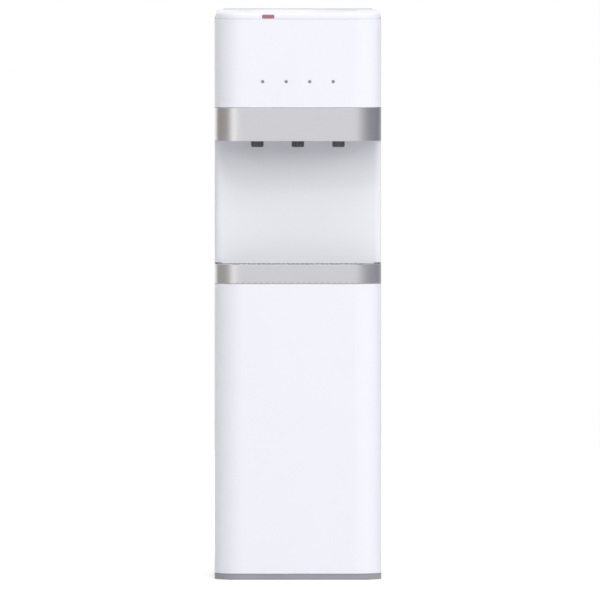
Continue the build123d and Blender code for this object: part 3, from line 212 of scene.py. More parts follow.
def spangled(name, color):
    """Hot-dip zinc: crystals a centimetre across that differ in tone and gloss."""
    mat, tree, bsdf = material(name)
    place = coordinates(tree)
    crystal = tree.nodes.new("ShaderNodeSeparateColor")
    tree.links.new(cells(tree, place, 110, "Color"), crystal.inputs["Color"])
    tone = blend_colors(tree, crystal.outputs["Red"], shade(color, -0.14), shade(color, 0.08))
    gloss = spread(tree, crystal.outputs["Green"], 0.32, 0.5, from_low=0, from_high=1)
    dress(tree, bsdf, tone, gloss, bump(tree, noise(tree, place, scale=900), 0.08, 0.0001))
    bsdf.inputs["Metallic"].default_value = 1.0
    return mat


def drawn_copper(name, color=(0.78, 0.36, 0.22), dull=(0.30, 0.13, 0.08)):
    """Copper or its alloy, bright in places and browned in others, with a fine grain."""
    mat, tree, bsdf = material(name)
    place = coordinates(tree)
    patches = noise(tree, place, scale=38, detail=5, rough=0.65, distort=0.4)
    age = spread(tree, patches, 0, 1, from_low=0.42, from_high=0.66)
    tone = blend_colors(tree, age, color, dull)
    gloss = spread(tree, age, 0.24, 0.55, from_low=0, from_high=1)
    dress(tree, bsdf, tone, gloss, bump(tree, noise(tree, place, scale=1300), 0.12, 0.00008))
    bsdf.inputs["Metallic"].default_value = 1.0
    return mat


def rubber(name, color):
    """Moulded rubber with a fine grain, paler in the patches where dust has settled."""
    mat, tree, bsdf = material(name)
    place = coordinates(tree)
    patches = noise(tree, place, scale=60, detail=5, rough=0.6)
    dust = spread(tree, patches, 0, 1, from_low=0.45, from_high=0.75)
    tone = blend_colors(tree, dust, color, shade(color, 0.35))
    gloss = spread(tree, noise(tree, place, scale=90, detail=3), 0.66, 0.80)
    dress(tree, bsdf, tone, gloss, bump(tree, noise(tree, place, scale=1600, detail=3), 0.25, 0.00012))
    return mat


def bead_foam(name, color):
    """Expanded bead foam: round beads 3 to 4 mm across with darker joints."""
    mat, tree, bsdf = material(name)
    bead = cells(tree, coordinates(tree), 290)
    joints = spread(tree, bead, 0, 1, from_low=0.15, from_high=0.75)
    tone = blend_colors(tree, joints, color, shade(color, -0.16))
    domes = spread(tree, bead, 1, 0, from_low=0, from_high=0.8)
    dress(tree, bsdf, color=tone, normal=bump(tree, domes, 0.5, 0.0006))
    bsdf.inputs["Roughness"].default_value = 0.8
    return mat


def enamel(name, color):
    """Stove enamel with an orange peel and a dusty bloom in patches."""
    mat, tree, bsdf = material(name)
    place = coordinates(tree)
    patches = noise(tree, place, scale=26, detail=5, rough=0.6)
    bloom = spread(tree, patches, 0, 1, from_low=0.5, from_high=0.8)
    tone = blend_colors(tree, bloom, color, shade(color, 0.9))
    gloss = spread(tree, bloom, 0.3, 0.52, from_low=0, from_high=1)
    dress(tree, bsdf, tone, gloss, bump(tree, noise(tree, place, scale=520), 0.2, 0.0002))
    return mat


def circuit_board(name):
    """Green solder mask, paler over a close net of tracks."""
    mat, tree, bsdf = material(name)
    place = coordinates(tree)
    net = tree.nodes.new("ShaderNodeTexBrick")
    net.inputs["Scale"].default_value = 260
    net.inputs["Mortar Size"].default_value = 0.06
    net.inputs["Color1"].default_value = (0.02, 0.13, 0.05, 1)
    net.inputs["Color2"].default_value = (0.025, 0.16, 0.06, 1)
    net.inputs["Mortar"].default_value = (0.06, 0.28, 0.11, 1)
    tree.links.new(place, net.inputs["Vector"])
    gloss = spread(tree, noise(tree, place, scale=400), 0.25, 0.38)
    dress(tree, bsdf, net.outputs["Color"], gloss, bump(tree, net.outputs["Fac"], 0.2, 0.0001))
    return mat


def clear_hose(name):
    """Milky silicone tube that lets some light through."""
    mat, tree, bsdf = material(name)
    place = coordinates(tree)
    share = spread(tree, noise(tree, place, scale=40, detail=4), 0, 1)
    tone = blend_colors(tree, share, (0.74, 0.74, 0.70), (0.84, 0.84, 0.81))
    gloss = spread(tree, noise(tree, place, scale=70), 0.28, 0.4)
    dress(tree, bsdf, tone, gloss, bump(tree, noise(tree, place, scale=900), 0.06, 0.0001))
    bsdf.inputs["Transmission Weight"].default_value = 0.25
    bsdf.inputs["IOR"].default_value = 1.41
    return mat


def rocker(name, color):
    """Glossy moulding of a mains switch's rocker."""
    return plastic(name, color, rough=0.25, grain=0.05, clouds=0.05, peel=0.03, coat=0.3)


WHITE = (0.845, 0.845, 0.905)
NICHE_WHITE = (0.83, 0.83, 0.88)
BASE_GREY = (0.32, 0.32, 0.345)
TRAY_GREY = (0.145, 0.15, 0.16)
GRILLE_GREY = (0.23, 0.24, 0.255)
TAP_BLACK = (0.085, 0.085, 0.09)
MATT_BLACK = (0.03, 0.03, 0.032)
LENS_GREY = (0.25, 0.255, 0.27)
BUTTON_RED = (0.37, 0.14, 0.175)

finish = {
    "white_plastic": plastic("white_moulding", WHITE, rough=0.36, grain=0.06, clouds=0.006, peel=0.04),
    "niche_plastic": plastic("niche_moulding", NICHE_WHITE, rough=0.4, grain=0.08, clouds=0.008, peel=0.04),
    "white_sheet": powder_coat("white_powder_coat", (0.83, 0.84, 0.865), rough=0.42, peel=0.22),
    "rear_sheet": powder_coat("grey_powder_coat", (0.60, 0.61, 0.63), rough=0.46, peel=0.3),
    "galvanised": spangled("zinc_coat", (0.62, 0.63, 0.65)),
    "silver_band": band_silver("satin_silver", (0.752, 0.745, 0.76), 0.34),
    "base_grey": plastic("base_moulding", BASE_GREY, rough=0.5, grain=0.3, clouds=0.05, grain_scale=1100),
    "tray_grey": plastic("tray_moulding", TRAY_GREY, rough=0.48, grain=0.3, clouds=0.06, grain_scale=1100),
    "grille_grey": plastic(
        "grille_moulding", GRILLE_GREY, rough=0.5, grain=0.35, clouds=0.06, grain_scale=1000
    ),
    "tap_black": plastic(
        "black_moulding", TAP_BLACK, rough=0.28, grain=0.15, clouds=0.2, peel=0.06, grain_scale=1300, coat=0.2
    ),
    "silicone": clear_hose("milky_silicone"),
    "seal_grey": rubber("grey_seal", (0.11, 0.11, 0.115)),
    "rubber_black": rubber("black_rubber", (0.022, 0.022, 0.022)),
    "steel": brushed("drawn_steel", (0.66, 0.66, 0.67), 0.26, (5, 5, 500), depth=0.14, streaks=0.05),
    "lens_dark": plastic("smoked_lens", LENS_GREY, rough=0.12, grain=0.0, clouds=0.1, peel=0.02, coat=0.5),
    "board_green": circuit_board("green_board"),
    "button_red": plastic(
        "red_moulding", BUTTON_RED, rough=0.34, grain=0.1, clouds=0.06, peel=0.04, coat=0.1
    ),
    "black_plastic": plastic(
        "black_matt_moulding", MATT_BLACK, rough=0.45, grain=0.3, clouds=0.15, grain_scale=1200
    ),
    "foam_white": bead_foam("bead_foam", (0.86, 0.86, 0.85)),
    "copper": drawn_copper("drawn_copper"),
    "black_enamel": enamel("stove_enamel", (0.016, 0.016, 0.017)),
    "rocker_red": rocker("rocker_red_moulding", (0.42, 0.03, 0.03)),
    "rocker_green": rocker("rocker_green_moulding", (0.04, 0.22, 0.08)),
}

for name, node in nodes.items():
    mesh = node.data
    mesh.materials.clear()
    mesh.materials.append(finish[slot_of[name]])


# Mesh helpers

UPRIGHT = Matrix.Identity(4)
UPSIDE_DOWN = Matrix.Rotation(math.pi, 4, "X")
SMOOTH_ANGLE = math.radians(32)
OVERCUT = 0.001


def add_object(name, data):
    obj = bpy.data.objects.new(name, data)
    bpy.context.scene.collection.objects.link(obj)
    return obj


def keep(name, mesh, body, slot, mat=None, place=UPRIGHT):
    """Puts a mesh in the scene as a piece of the object, riding on a CAD body."""
    obj = add_object(name, mesh)
    obj.matrix_world = place
    if not mesh.materials:
        mesh.materials.append(mat or finish[slot])
    mesh.polygons.foreach_set("use_smooth", [True] * len(mesh.polygons))
    mesh.set_sharp_from_angle(angle=SMOOTH_ANGLE)
    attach(obj, body)
    return obj


def pieces_of(name, mesh, places, body, slot, mat=None):
    """One piece at each place, numbered from 1."""
    for number, place in enumerate(places, 1):
        keep(f"{name}_{number}", mesh, body, slot, mat, place)


def mesh_from(bm, name):
    """Mesh of what was built, with its faces turned outwards."""
    bmesh.ops.recalc_face_normals(bm, faces=bm.faces[:])
    mesh = bpy.data.meshes.new(name)
    bm.to_mesh(mesh)
    bm.free()
    return mesh


def applied(obj, name):
    """Mesh of an object with its modifiers in it; the object itself is removed."""
    bpy.context.view_layer.update()
    shown = obj.evaluated_get(bpy.context.evaluated_depsgraph_get())
    mesh = bpy.data.meshes.new_from_object(shown)
    mesh.name = name
    bpy.data.objects.remove(obj)
    return mesh


def cut(body_mesh, cutter_mesh, name):
    """Exact difference of two closed meshes, as a new mesh."""
    body = add_object("cut_body", body_mesh)
    cutter = add_object("cutter", cutter_mesh)
    step = body.modifiers.new("cut", "BOOLEAN")
    step.operation = "DIFFERENCE"
    step.solver = "EXACT"
    step.object = cutter
    result = applied(body, name)
    bpy.data.objects.remove(cutter)
    return result


def towards(origin, axis):
    """Matrix that puts local Z along axis at origin."""
    return Matrix.Translation(origin) @ Vector(axis).to_track_quat("Z", "Y").to_matrix().to_4x4()


def polygon(radius, height, count, start=0.0):
    """Corners of a regular polygon about Z, from the start angle on."""
    turns = [start + 2 * math.pi * k / count for k in range(count)]
    return [(radius * math.cos(turn), radius * math.sin(turn), height) for turn in turns]


def join_rings(bm, first, second):
    """Faces between two rings of as many corners."""
    count = len(first)
    for k in range(count):
        after = (k + 1) % count
        bm.faces.new((first[k], first[after], second[after], second[k]))


def prism(bm, first, second):
    """Closed body between two outlines of as many corners."""
    near = [bm.verts.new(corner) for corner in first]
    far = [bm.verts.new(corner) for corner in second]
    bm.faces.new(near)
    bm.faces.new(far)
    join_rings(bm, near, far)


def lathe(profile, steps, name):
    """Surface of revolution about Z of (radius, height) points; a radius of 0 closes to a point."""
    bm = bmesh.new()
    rings = []
    for radius, height in profile:
        count = steps if radius > 0 else 1
        rings.append([bm.verts.new(corner) for corner in polygon(radius, height, count)])
    for lower, upper in zip(rings, rings[1:]):
        for k in range(steps):
            pairs = ((lower, k), (lower, k + 1), (upper, k + 1), (upper, k))
            corners = list(dict.fromkeys(ring[at % len(ring)] for ring, at in pairs))
            if len(corners) > 2:
                bm.faces.new(corners)
    return mesh_from(bm, name)


def bar(points, radius, steps, name):
    """Round bar along a list of points, with mitred rings and closed ends."""
    bm = bmesh.new()
    spots = [Vector(point) for point in points]
    rings = []
    normal = None
    for before, spot, after in zip(spots[:1] + spots[:-1], spots, spots[1:] + spots[-1:]):
        run = (after - before).normalized()
        if normal is None:
            normal = run.orthogonal().normalized()
        normal = (normal - run * normal.dot(run)).normalized()
        side = run.cross(normal)
        ring = [spot + x * normal + y * side for x, y, _ in polygon(radius, 0, steps)]
        rings.append([bm.verts.new(corner) for corner in ring])
    for lower, upper in zip(rings, rings[1:]):
        join_rings(bm, lower, upper)
    bm.faces.new(rings[0])
    bm.faces.new(rings[-1])
    return mesh_from(bm, name)


# Screws on the rear and in the taps' flanges

SCREW_RADIUS = 0.0036
SCREW_HEIGHT = 0.0022
SIDE_SCREW_X = 0.1475
SIDE_SCREW_HEIGHTS = (0.268, 0.520, 0.775, 1.000)
TOP_SCREW_X = 0.045
TOP_SCREW_DROP = 0.008
TAP_PITCH = 0.0755
TAP_SETBACK = 0.048
TAP_SCREW_OFFSET = 0.0192
TAP_FLANGE_WALL = 0.003
CEILING_SKIRT = 0.010


def cross_cutter(reach, half, depth, top):
    """Tapered cross, one closed outline of twelve corners, that sinks from top down by depth."""
    outlines = []
    narrow_end = (top - depth, 0.45 * reach, 0.8 * half)
    wide_end = (top + OVERCUT, 1.12 * reach, 1.12 * half)
    for z, tip, waist in (narrow_end, wide_end):
        outline = []
        for quarter in range(4):
            spin = Matrix.Rotation(quarter * math.pi / 2, 4, "Z")
            for x, y in ((tip, -waist), (tip, waist), (waist, waist)):
                outline.append(spin @ Vector((x, y, z)))
        outlines.append(outline)
    bm = bmesh.new()
    prism(bm, *outlines)
    return mesh_from(bm, "cross")


def pan_head(radius, height):
    """Domed screw head with a bevelled rim and a cross recess, sunk a little into its sheet."""
    sink = 0.0006
    foot = 0.93 * radius
    rim = 0.18 * height
    flat = 0.55 * radius
    steps = 8
    profile = [(0, -sink), (foot, -sink), (foot, 0), (radius, 0.3 * rim), (radius, rim)]
    for step in range(1, steps + 1):
        tilt = step / steps * math.pi / 2
        profile.append((flat + (radius - flat) * math.cos(tilt), rim + (height - rim) * math.sin(tilt)))
    profile.append((0, height))
    head = lathe(profile, 40, "head_blank")
    return cut(head, cross_cutter(0.5 * radius, 0.12 * radius, 0.7 * height, height), "screw_head")


zinc = screw_steel("bright_zinc", (0.68, 0.68, 0.66))
phosphated = screw_steel("phosphated_steel", (0.24, 0.24, 0.25))

screw = pan_head(SCREW_RADIUS, SCREW_HEIGHT)
rear_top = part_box("side_panel_left")[1].z
rear_screws = [
    towards((x, REAR_Y, z), (0, 1, 0)) for x in (-SIDE_SCREW_X, SIDE_SCREW_X) for z in SIDE_SCREW_HEIGHTS
]
rear_screws += [
    towards((x, REAR_Y, rear_top - TOP_SCREW_DROP), (0, 1, 0)) for x in (-TOP_SCREW_X, TOP_SCREW_X)
]
pieces_of("rear_screw", screw, rear_screws, "cabinet", "steel", phosphated)

flange_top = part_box("niche_ceiling")[1].z - CEILING_SKIRT + TAP_FLANGE_WALL
tap_screws = [
    towards((x + offset, FRONT_Y + TAP_SETBACK, flange_top), (0, 0, 1))
    for x in (-TAP_PITCH, 0, TAP_PITCH)
    for offset in (-TAP_SCREW_OFFSET, TAP_SCREW_OFFSET)
]
pieces_of("tap_screw", screw, tap_screws, "cabinet", "steel", phosphated)


# Round-wire tap springs in the place of the CAD's spring pieces, which are hidden

SPRING_WIRE = 0.0004
SPRING_TURNS = 4
SPRING_STEPS = 32


def spring_mesh(centre, radius, low, high):
    """Coil of round wire between two heights; SPRING_WIRE is the wire's radius."""
    count = SPRING_TURNS * SPRING_STEPS
    points = []
    for k in range(count + 1):
        turn = 2 * math.pi * k / SPRING_STEPS
        rise = low + (high - low) * k / count
        points.append((centre.x + radius * math.cos(turn), centre.y + radius * math.sin(turn), rise))
    return bar(points, SPRING_WIRE, 12, "spring")


for tap in ("hot", "room", "cold"):
    low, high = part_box(f"tap_spring_{tap}")
    centre = (low + high) / 2
    radius = (high.x - low.x) / 2 - SPRING_WIRE
    coil = spring_mesh(centre, radius, low.z + SPRING_WIRE, high.z - SPRING_WIRE)
    spring = keep(f"coil_spring_{tap}", coil, "cabinet", slot_of[f"tap_spring_{tap}"])
    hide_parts(f"tap_spring_{tap}")
    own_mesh(spring)


# Washers and nuts on the compressor's studs

GROMMET_RADIUS = 0.009
PLATE_WALL = 0.0025
WASHER_RADIUS = 0.0085
WASHER_BORE = 0.0037
WASHER_WALL = 0.0012
NUT_ACROSS = 0.012
NUT_HEIGHT = 0.0046
NUT_BORE = 0.00355


def hex_nut(across, height, bore):
    """Nut that measures across from flat to flat, with a plain bore and softened edges."""
    corner = across / math.sqrt(3)
    bm = bmesh.new()
    prism(bm, polygon(corner, 0, 6, math.pi / 6), polygon(corner, height, 6, math.pi / 6))
    blank = mesh_from(bm, "nut_blank")
    below = -OVERCUT
    above = height + OVERCUT
    drill = lathe([(0, below), (bore, below), (bore, above), (0, above)], 32, "nut_bore")
    bm = bmesh.new()
    bm.from_mesh(cut(blank, drill, "nut"))
    corner_angle = 0.6
    corners = [e for e in bm.edges if len(e.link_faces) == 2 and e.calc_face_angle() > corner_angle]
    bmesh.ops.bevel(bm, geom=corners, offset=0.0004, segments=2, affect="EDGES")
    return mesh_from(bm, "nut")


def washer(outer, inner, height):
    """Flat ring with bevelled edges."""
    lip = 0.0002
    profile = [
        (inner, lip), (inner + lip, 0), (outer - lip, 0), (outer, lip), (outer, height - lip),
        (outer - lip, height), (inner + lip, height), (inner, height - lip), (inner, lip),
    ]
    return lathe(profile, 40, "washer")


low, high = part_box("compressor_grommets")
stud_spots = [
    (x, y)
    for x in (low.x + GROMMET_RADIUS, high.x - GROMMET_RADIUS)
    for y in (low.y + GROMMET_RADIUS, high.y - GROMMET_RADIUS)
]
plate_top = high.z + PLATE_WALL
washer_top = plate_top + WASHER_WALL
ring = washer(WASHER_RADIUS, WASHER_BORE, WASHER_WALL)
nut = hex_nut(NUT_ACROSS, NUT_HEIGHT, NUT_BORE)
for number, (x, y) in enumerate(stud_spots, 1):
    keep(f"stud_washer_{number}", ring, "cabinet", "steel", zinc, Matrix.Translation((x, y, plate_top)))
    keep(f"stud_nut_{number}", nut, "cabinet", "steel", zinc, Matrix.Translation((x, y, washer_top)))


# Brazed joints of the cooling circuit, whose tubes are given by their radii

TUBE = 0.0024
SUCTION_TUBE = 0.0032
CAPILLARY = 0.0012

# Places beside the condenser's riser and over the compressor's port, as in the CAD
RISER_GAP = 0.011
DRIER_LENGTH = 0.080
DRIER_SETBACK = 0.038
DRIER_RISE = 0.0245

SLEEVE_RADIUS = 0.0031
SLEEVE_LENGTH = 0.014


def braze_collar(outer, inner, rise):
    """Bead of alloy round a socket's end that runs up in a hollow curve on to the tube inside it."""
    lap = 0.0007
    bevel = 0.0002
    buried = 0.95 * inner
    steps = 6
    profile = [(buried, -lap), (outer - bevel, -lap), (outer, -0.6 * lap), (outer, -0.2 * lap)]
    for step in range(steps + 1):
        tilt = step / steps * math.pi / 2
        profile.append((inner + (outer - inner) * (1 - math.sin(tilt)), rise * (1 - math.cos(tilt))))
    profile += [(buried, rise), (buried, -lap)]
    return lathe(profile, 28, "braze_collar")


def coupling_sleeve(outer, length):
    """Short copper sleeve with bevelled ends, over the place where two tubes meet."""
    lip = 0.0003
    half = length / 2
    outside = [(outer - lip, -half), (outer, lip - half), (outer, half - lip), (outer - lip, half)]
    return lathe([(TUBE, -half), *outside, (TUBE, half), (TUBE, -half)], 28, "coupling_sleeve")


braze = drawn_copper("braze_alloy", (0.72, 0.60, 0.38), (0.42, 0.28, 0.16))


def keep_braze(name, collar, place):
    keep(name, collar, "cabinet", "copper", braze, place)


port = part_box("discharge_pipe")[0] + Vector((TUBE, TUBE, 0))
suction_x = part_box("suction_pipe")[0].x + SUCTION_TUBE
suction_port = Vector((suction_x, port.y, port.z))
discharge_braze = braze_collar(outer=0.0038, inner=TUBE, rise=0.0022)
suction_braze = braze_collar(outer=0.0042, inner=SUCTION_TUBE, rise=0.0018)
keep_braze("discharge_braze", discharge_braze, Matrix.Translation(port))
keep_braze("suction_braze", suction_braze, Matrix.Translation(suction_port))

coil_low, coil_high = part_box("condenser_tube")
riser_x = coil_high.x - TUBE
outlet_x = riser_x - RISER_GAP
sleeve = coupling_sleeve(SLEEVE_RADIUS, SLEEVE_LENGTH)
sleeve_braze = braze_collar(outer=0.0033, inner=TUBE, rise=0.0014)
for number, x in enumerate((riser_x, outlet_x), 1):
    middle = Matrix.Translation((x, coil_high.y - TUBE, coil_low.z))
    keep(f"coupling_sleeve_{number}", sleeve, "cabinet", "copper", None, middle)
    for end, flip in (("upper", UPRIGHT), ("lower", UPSIDE_DOWN)):
        place = middle @ flip @ Matrix.Translation((0, 0, SLEEVE_LENGTH / 2))
        keep_braze(f"sleeve_braze_{number}_{end}", sleeve_braze, place)

drier_top = Vector((outlet_x, REAR_Y - DRIER_SETBACK, port.z + DRIER_RISE))
drier_foot = drier_top - Vector((0, 0, DRIER_LENGTH))
inlet_braze = braze_collar(outer=0.0036, inner=TUBE, rise=0.002)
outlet_braze = braze_collar(outer=0.003, inner=CAPILLARY, rise=0.0026)
keep_braze("drier_braze_upper", inlet_braze, Matrix.Translation(drier_top))
keep_braze("drier_braze_lower", outlet_braze, Matrix.Translation(drier_foot) @ UPSIDE_DOWN)


# Pressed hoods over the louvres of the rear panel

LOUVRE_LENGTH = 0.060
LOUVRE_PITCH = 0.012
LOUVRE_ROWS = 6
LOUVRE_TOP_GAP = 0.045
LOUVRE_X = 0.018
HOOD_LENGTH = 0.064
HOOD_HEIGHT = 0.0065
HOOD_REACH = 0.0042
HOOD_LIFT = 0.001
HOOD_WALL = 0.0007


def louvre_hood(length, height, reach):
    """Sheet pushed out over a slot: a quarter-round scoop, open below, with ends drawn down to the panel."""
    bm = bmesh.new()
    columns = 28
    steps = 8
    rows = []
    for k in range(columns + 1):
        u = 2 * k / columns - 1
        swell = max(0.0, 1 - abs(u) ** 6) ** 0.5
        row = []
        for m in range(steps + 1):
            tilt = m / steps * math.pi / 2
            rise = (0.15 + 0.95 * math.sin(tilt)) * (0.35 + 0.65 * swell)
            row.append(bm.verts.new((u * length / 2, height * (rise - 0.5), reach * math.cos(tilt) * swell)))
        rows.append(row)
    for left, right in zip(rows, rows[1:]):
        for m in range(steps):
            bm.faces.new((left[m], right[m], right[m + 1], left[m + 1]))
    bmesh.ops.remove_doubles(bm, verts=bm.verts[:], dist=0.00001)
    form = add_object("hood_form", mesh_from(bm, "hood_sheet"))
    thick = form.modifiers.new("thick", "SOLIDIFY")
    thick.thickness = HOOD_WALL
    thick.offset = 1
    return applied(form, "louvre_hood")


hood = louvre_hood(HOOD_LENGTH, HOOD_HEIGHT, HOOD_REACH)
facing_back = Matrix(((-1, 0, 0, 0), (0, 0, 1, 0), (0, 1, 0, 0), (0, 0, 0, 1)))
column_offset = (LOUVRE_LENGTH + LOUVRE_PITCH) / 2
louvre_mid = rear_top - LOUVRE_TOP_GAP - LOUVRE_ROWS * LOUVRE_PITCH / 2
hoods = []
for side in (-1, 1):
    for row in range(LOUVRE_ROWS):
        z = louvre_mid + (row - (LOUVRE_ROWS - 1) / 2) * LOUVRE_PITCH + HOOD_LIFT
        hoods.append(Matrix.Translation((LOUVRE_X + side * column_offset, REAR_Y, z)) @ facing_back)
pieces_of("louvre_hood", hood, hoods, "cabinet", "rear_sheet")


# Painted shade: silver plates darker than the band at the back of the finger notches, a little smaller than
# the notches, standing in for the shade inside them

NOTCH_COUNT = 21
NOTCH_PITCH = 0.0113
NOTCH_DEPTH = 0.0018
SHADE_PLATE_WIDTH = 0.0048
SHADE_PLATE_HEIGHT = 0.0033
SHADE_PLATE_WALL = 0.0003
SHADE_PLATE_CORNER = 0.0006
SHADE_PLATE_LIFT = 0.0001


def rounded_outline(x, z, width, height, radius, steps=4):
    """Corners of an upright rectangle about (x, z), with rounded corners."""
    outline = []
    for side_x, side_z, start in ((1, 1, 0), (-1, 1, 90), (-1, -1, 180), (1, -1, 270)):
        for m in range(steps + 1):
            turn = math.radians(start + 90 * m / steps)
            outline.append((
                x + side_x * (width / 2 - radius) + radius * math.cos(turn),
                z + side_z * (height / 2 - radius) + radius * math.sin(turn),
            ))
    return outline


def notch_shade_plates(low_z, back_y):
    """A row of thin plates with rounded corners, in one mesh, that paint the shade at the backs of the
    notches.
    """
    bm = bmesh.new()
    front_y = back_y - SHADE_PLATE_WALL
    for k in range(NOTCH_COUNT):
        x = (k - (NOTCH_COUNT - 1) / 2) * NOTCH_PITCH
        middle_z = low_z + SHADE_PLATE_HEIGHT / 2
        outline = rounded_outline(x, middle_z, SHADE_PLATE_WIDTH, SHADE_PLATE_HEIGHT, SHADE_PLATE_CORNER)
        prism(bm, [(x, front_y, z) for x, z in outline], [(x, back_y, z) for x, z in outline])
    return mesh_from(bm, "notch_shade_plates")


band_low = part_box("tray_band")[0]
# Darker copy of the band's silver: painted shade for the backs of the notches
notch_shade_finish = band_silver("painted_shade_silver", (0.68, 0.675, 0.69), 0.38)
notch_shade = notch_shade_plates(band_low.z + SHADE_PLATE_LIFT, FRONT_Y + NOTCH_DEPTH)
keep("notch_shade_plates", notch_shade, "drip_tray", "silver_band", notch_shade_finish)


# Camera, which looks down at the cooler by a little under two degrees from far away

PICTURE_WIDTH = 600

# What one pixel of the photograph covers of the cooler's front
PIXEL = 0.0018585

SENSOR_WIDTH = 36
CAMERA_HEIGHT = 1.7955
CAMERA_DISTANCE = 40.0
AIM = Vector((0.0039, FRONT_Y, 0.521))

camera = add_object("camera", bpy.data.cameras.new("camera"))
bpy.context.scene.camera = camera
camera.location = (AIM.x, AIM.y - CAMERA_DISTANCE, CAMERA_HEIGHT)
look = AIM - camera.location
camera.rotation_mode = "QUATERNION"
camera.rotation_quaternion = look.to_track_quat("-Z", "Y")
camera.data.sensor_width = SENSOR_WIDTH
camera.data.lens = SENSOR_WIDTH * look.length / (PICTURE_WIDTH * PIXEL)
camera.data.clip_start = 1
camera.data.clip_end = 400


# Floor

FLOOR_HALF = 6


def pale_floor(name):
    """Dull floor that glows to the camera alone, more so away from the cooler."""
    mat, tree, bsdf = material(name)
    bsdf.inputs["Base Color"].default_value = (0.60, 0.60, 0.605, 1)
    bsdf.inputs["Roughness"].default_value = 0.9
    bsdf.inputs["Specular IOR Level"].default_value = 0.1
    reach = tree.nodes.new("ShaderNodeVectorMath")
    reach.operation = "LENGTH"
    tree.links.new(coordinates(tree), reach.inputs[0])
    away = spread(tree, reach.outputs["Value"], 0.50, 0.80, from_low=0.5, from_high=2.2)
    rays = tree.nodes.new("ShaderNodeLightPath")
    shown = tree.nodes.new("ShaderNodeMath")
    shown.operation = "MULTIPLY"
    tree.links.new(away, shown.inputs[0])
    tree.links.new(rays.outputs["Is Camera Ray"], shown.inputs[1])
    glow = tree.nodes.new("ShaderNodeEmission")
    tree.links.new(shown.outputs["Value"], glow.inputs["Strength"])
    total = tree.nodes.new("ShaderNodeAddShader")
    tree.links.new(bsdf.outputs["BSDF"], total.inputs[0])
    tree.links.new(glow.outputs["Emission"], total.inputs[1])
    tree.links.new(total.outputs["Shader"], tree.nodes["Material Output"].inputs["Surface"])
    return mat


bm = bmesh.new()
bmesh.ops.create_grid(bm, x_segments=1, y_segments=1, size=FLOOR_HALF)
floor = add_object("floor", mesh_from(bm, "floor"))
floor.data.materials.append(pale_floor("pale_floor"))


# Lamps

LIT_POINT = Vector((0, -0.1, 0.6))


def lamp(name, azimuth, elevation, distance, size, power, mirrored=False):
    """Soft box that looks at the cooler's middle; azimuth counts from the front towards +X."""
    light = bpy.data.lights.new(name, "AREA")
    light.shape = "RECTANGLE"
    light.size, light.size_y = size
    light.energy = power
    obj = add_object(name, light)
    turn = math.radians(azimuth)
    rise = math.radians(elevation)
    way = Vector((math.sin(turn) * math.cos(rise), -math.cos(turn) * math.cos(rise), math.sin(rise)))
    obj.location = LIT_POINT + distance * way
    obj.rotation_mode = "QUATERNION"
    obj.rotation_quaternion = (-way).to_track_quat("-Z", "Y")
    obj.visible_camera = False
    obj.visible_glossy = mirrored


lamp("key", azimuth=-8, elevation=41, distance=11.0, size=(1.6, 1.6), power=90, mirrored=True)
lamp("overhead", azimuth=0, elevation=75, distance=6.0, size=(5.0, 4.6), power=36, mirrored=True)
lamp("far_right", azimuth=68, elevation=14, distance=9.0, size=(3.6, 5.9), power=262)
lamp("left", azimuth=-50, elevation=15, distance=9.0, size=(4.1, 5.9), power=66)
lamp("front", azimuth=5, elevation=25, distance=11.0, size=(7.3, 5.0), power=250)
lamp("high", azimuth=5, elevation=50, distance=11.0, size=(7.8, 3.8), power=228)
lamp("rear", azimuth=175, elevation=28, distance=9.0, size=(5.0, 5.0), power=180)


# Room: white to the camera and through the hoses, walls in reflections, a graded sky for all other light

PLAIN_WHITE = (1.0, 1.0, 1.0, 1.0)
WALL_STRENGTH = 1.65

# Each stop is a direction from -1, straight down, to 1, straight up, with its colour
SKY = (
    (-1.0, (0.05, 0.05, 0.05)),
    (0.05, (0.08, 0.08, 0.08)),
    (0.16, (0.36, 0.36, 0.365)),
    (0.26, (0.64, 0.64, 0.645)),
    (0.60, (0.60, 0.60, 0.605)),
    (1.0, (0.44, 0.44, 0.45)),
)

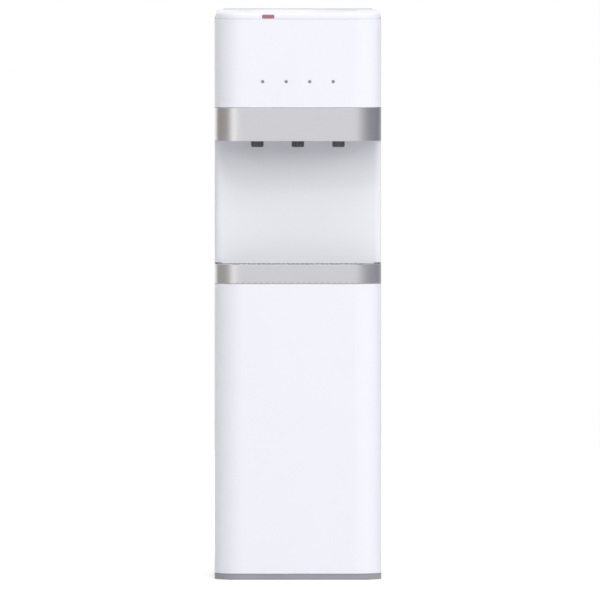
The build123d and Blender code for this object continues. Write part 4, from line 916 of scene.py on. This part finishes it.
# Each stop is a direction from -1, the left, to 1, the right, with its colour
WALLS = (
    (-1.0, (0.20, 0.178, 0.170)),
    (-0.80, (0.19, 0.175, 0.168)),
    (-0.66, (0.86, 0.86, 0.84)),
    (-0.48, (0.84, 0.84, 0.825)),
    (-0.30, (0.56, 0.56, 0.57)),
    (0.25, (0.50, 0.50, 0.52)),
    (0.50, (0.32, 0.32, 0.34)),
    (0.85, (0.115, 0.117, 0.135)),
    (1.0, (0.138, 0.140, 0.168)),
)


def world_ramp(tree, value, stops):
    """Colours along one direction of the room, from -1 to 1."""
    ramp = tree.nodes.new("ShaderNodeValToRGB")
    band = ramp.color_ramp
    while len(band.elements) < len(stops):
        band.elements.new(0.5)
    for element, (place, tone) in zip(band.elements, stops):
        element.position = (place + 1) / 2
        element.color = (*tone, 1)
    tree.links.new(spread(tree, value, 0, 1, from_low=-1, from_high=1), ramp.inputs["Fac"])
    return ramp.outputs["Color"]


def studio_world(name):
    world = bpy.data.worlds.new(name)
    world.use_nodes = True
    tree = world.node_tree
    tree.nodes.clear()
    out = tree.nodes.new("ShaderNodeOutputWorld")
    rays = tree.nodes.new("ShaderNodeLightPath")
    around = tree.nodes.new("ShaderNodeTexCoord")
    direction = tree.nodes.new("ShaderNodeSeparateXYZ")
    tree.links.new(around.outputs["Generated"], direction.inputs["Vector"])
    sky = world_ramp(tree, direction.outputs["Z"], SKY)
    walls = world_ramp(tree, direction.outputs["X"], WALLS)

    mirrored = tree.nodes.new("ShaderNodeVectorMath")
    mirrored.operation = "SCALE"
    mirrored.inputs["Scale"].default_value = WALL_STRENGTH
    tree.links.new(walls, mirrored.inputs[0])
    lit, sky_input, wall_input = color_mixer(tree, rays.outputs["Is Glossy Ray"])
    tree.links.new(sky, sky_input)
    tree.links.new(mirrored.outputs["Vector"], wall_input)

    seen = tree.nodes.new("ShaderNodeMath")
    seen.operation = "MAXIMUM"
    tree.links.new(rays.outputs["Is Camera Ray"], seen.inputs[0])
    tree.links.new(rays.outputs["Is Transmission Ray"], seen.inputs[1])
    total, lit_input, white_input = color_mixer(tree, seen.outputs["Value"])
    tree.links.new(lit.outputs[2], lit_input)
    white_input.default_value = PLAIN_WHITE

    background = tree.nodes.new("ShaderNodeBackground")
    tree.links.new(total.outputs[2], background.inputs["Color"])
    tree.links.new(background.outputs["Background"], out.inputs["Surface"])
    return world


bpy.context.scene.world = studio_world("studio")
bpy.context.scene.view_settings.view_transform = "Standard"
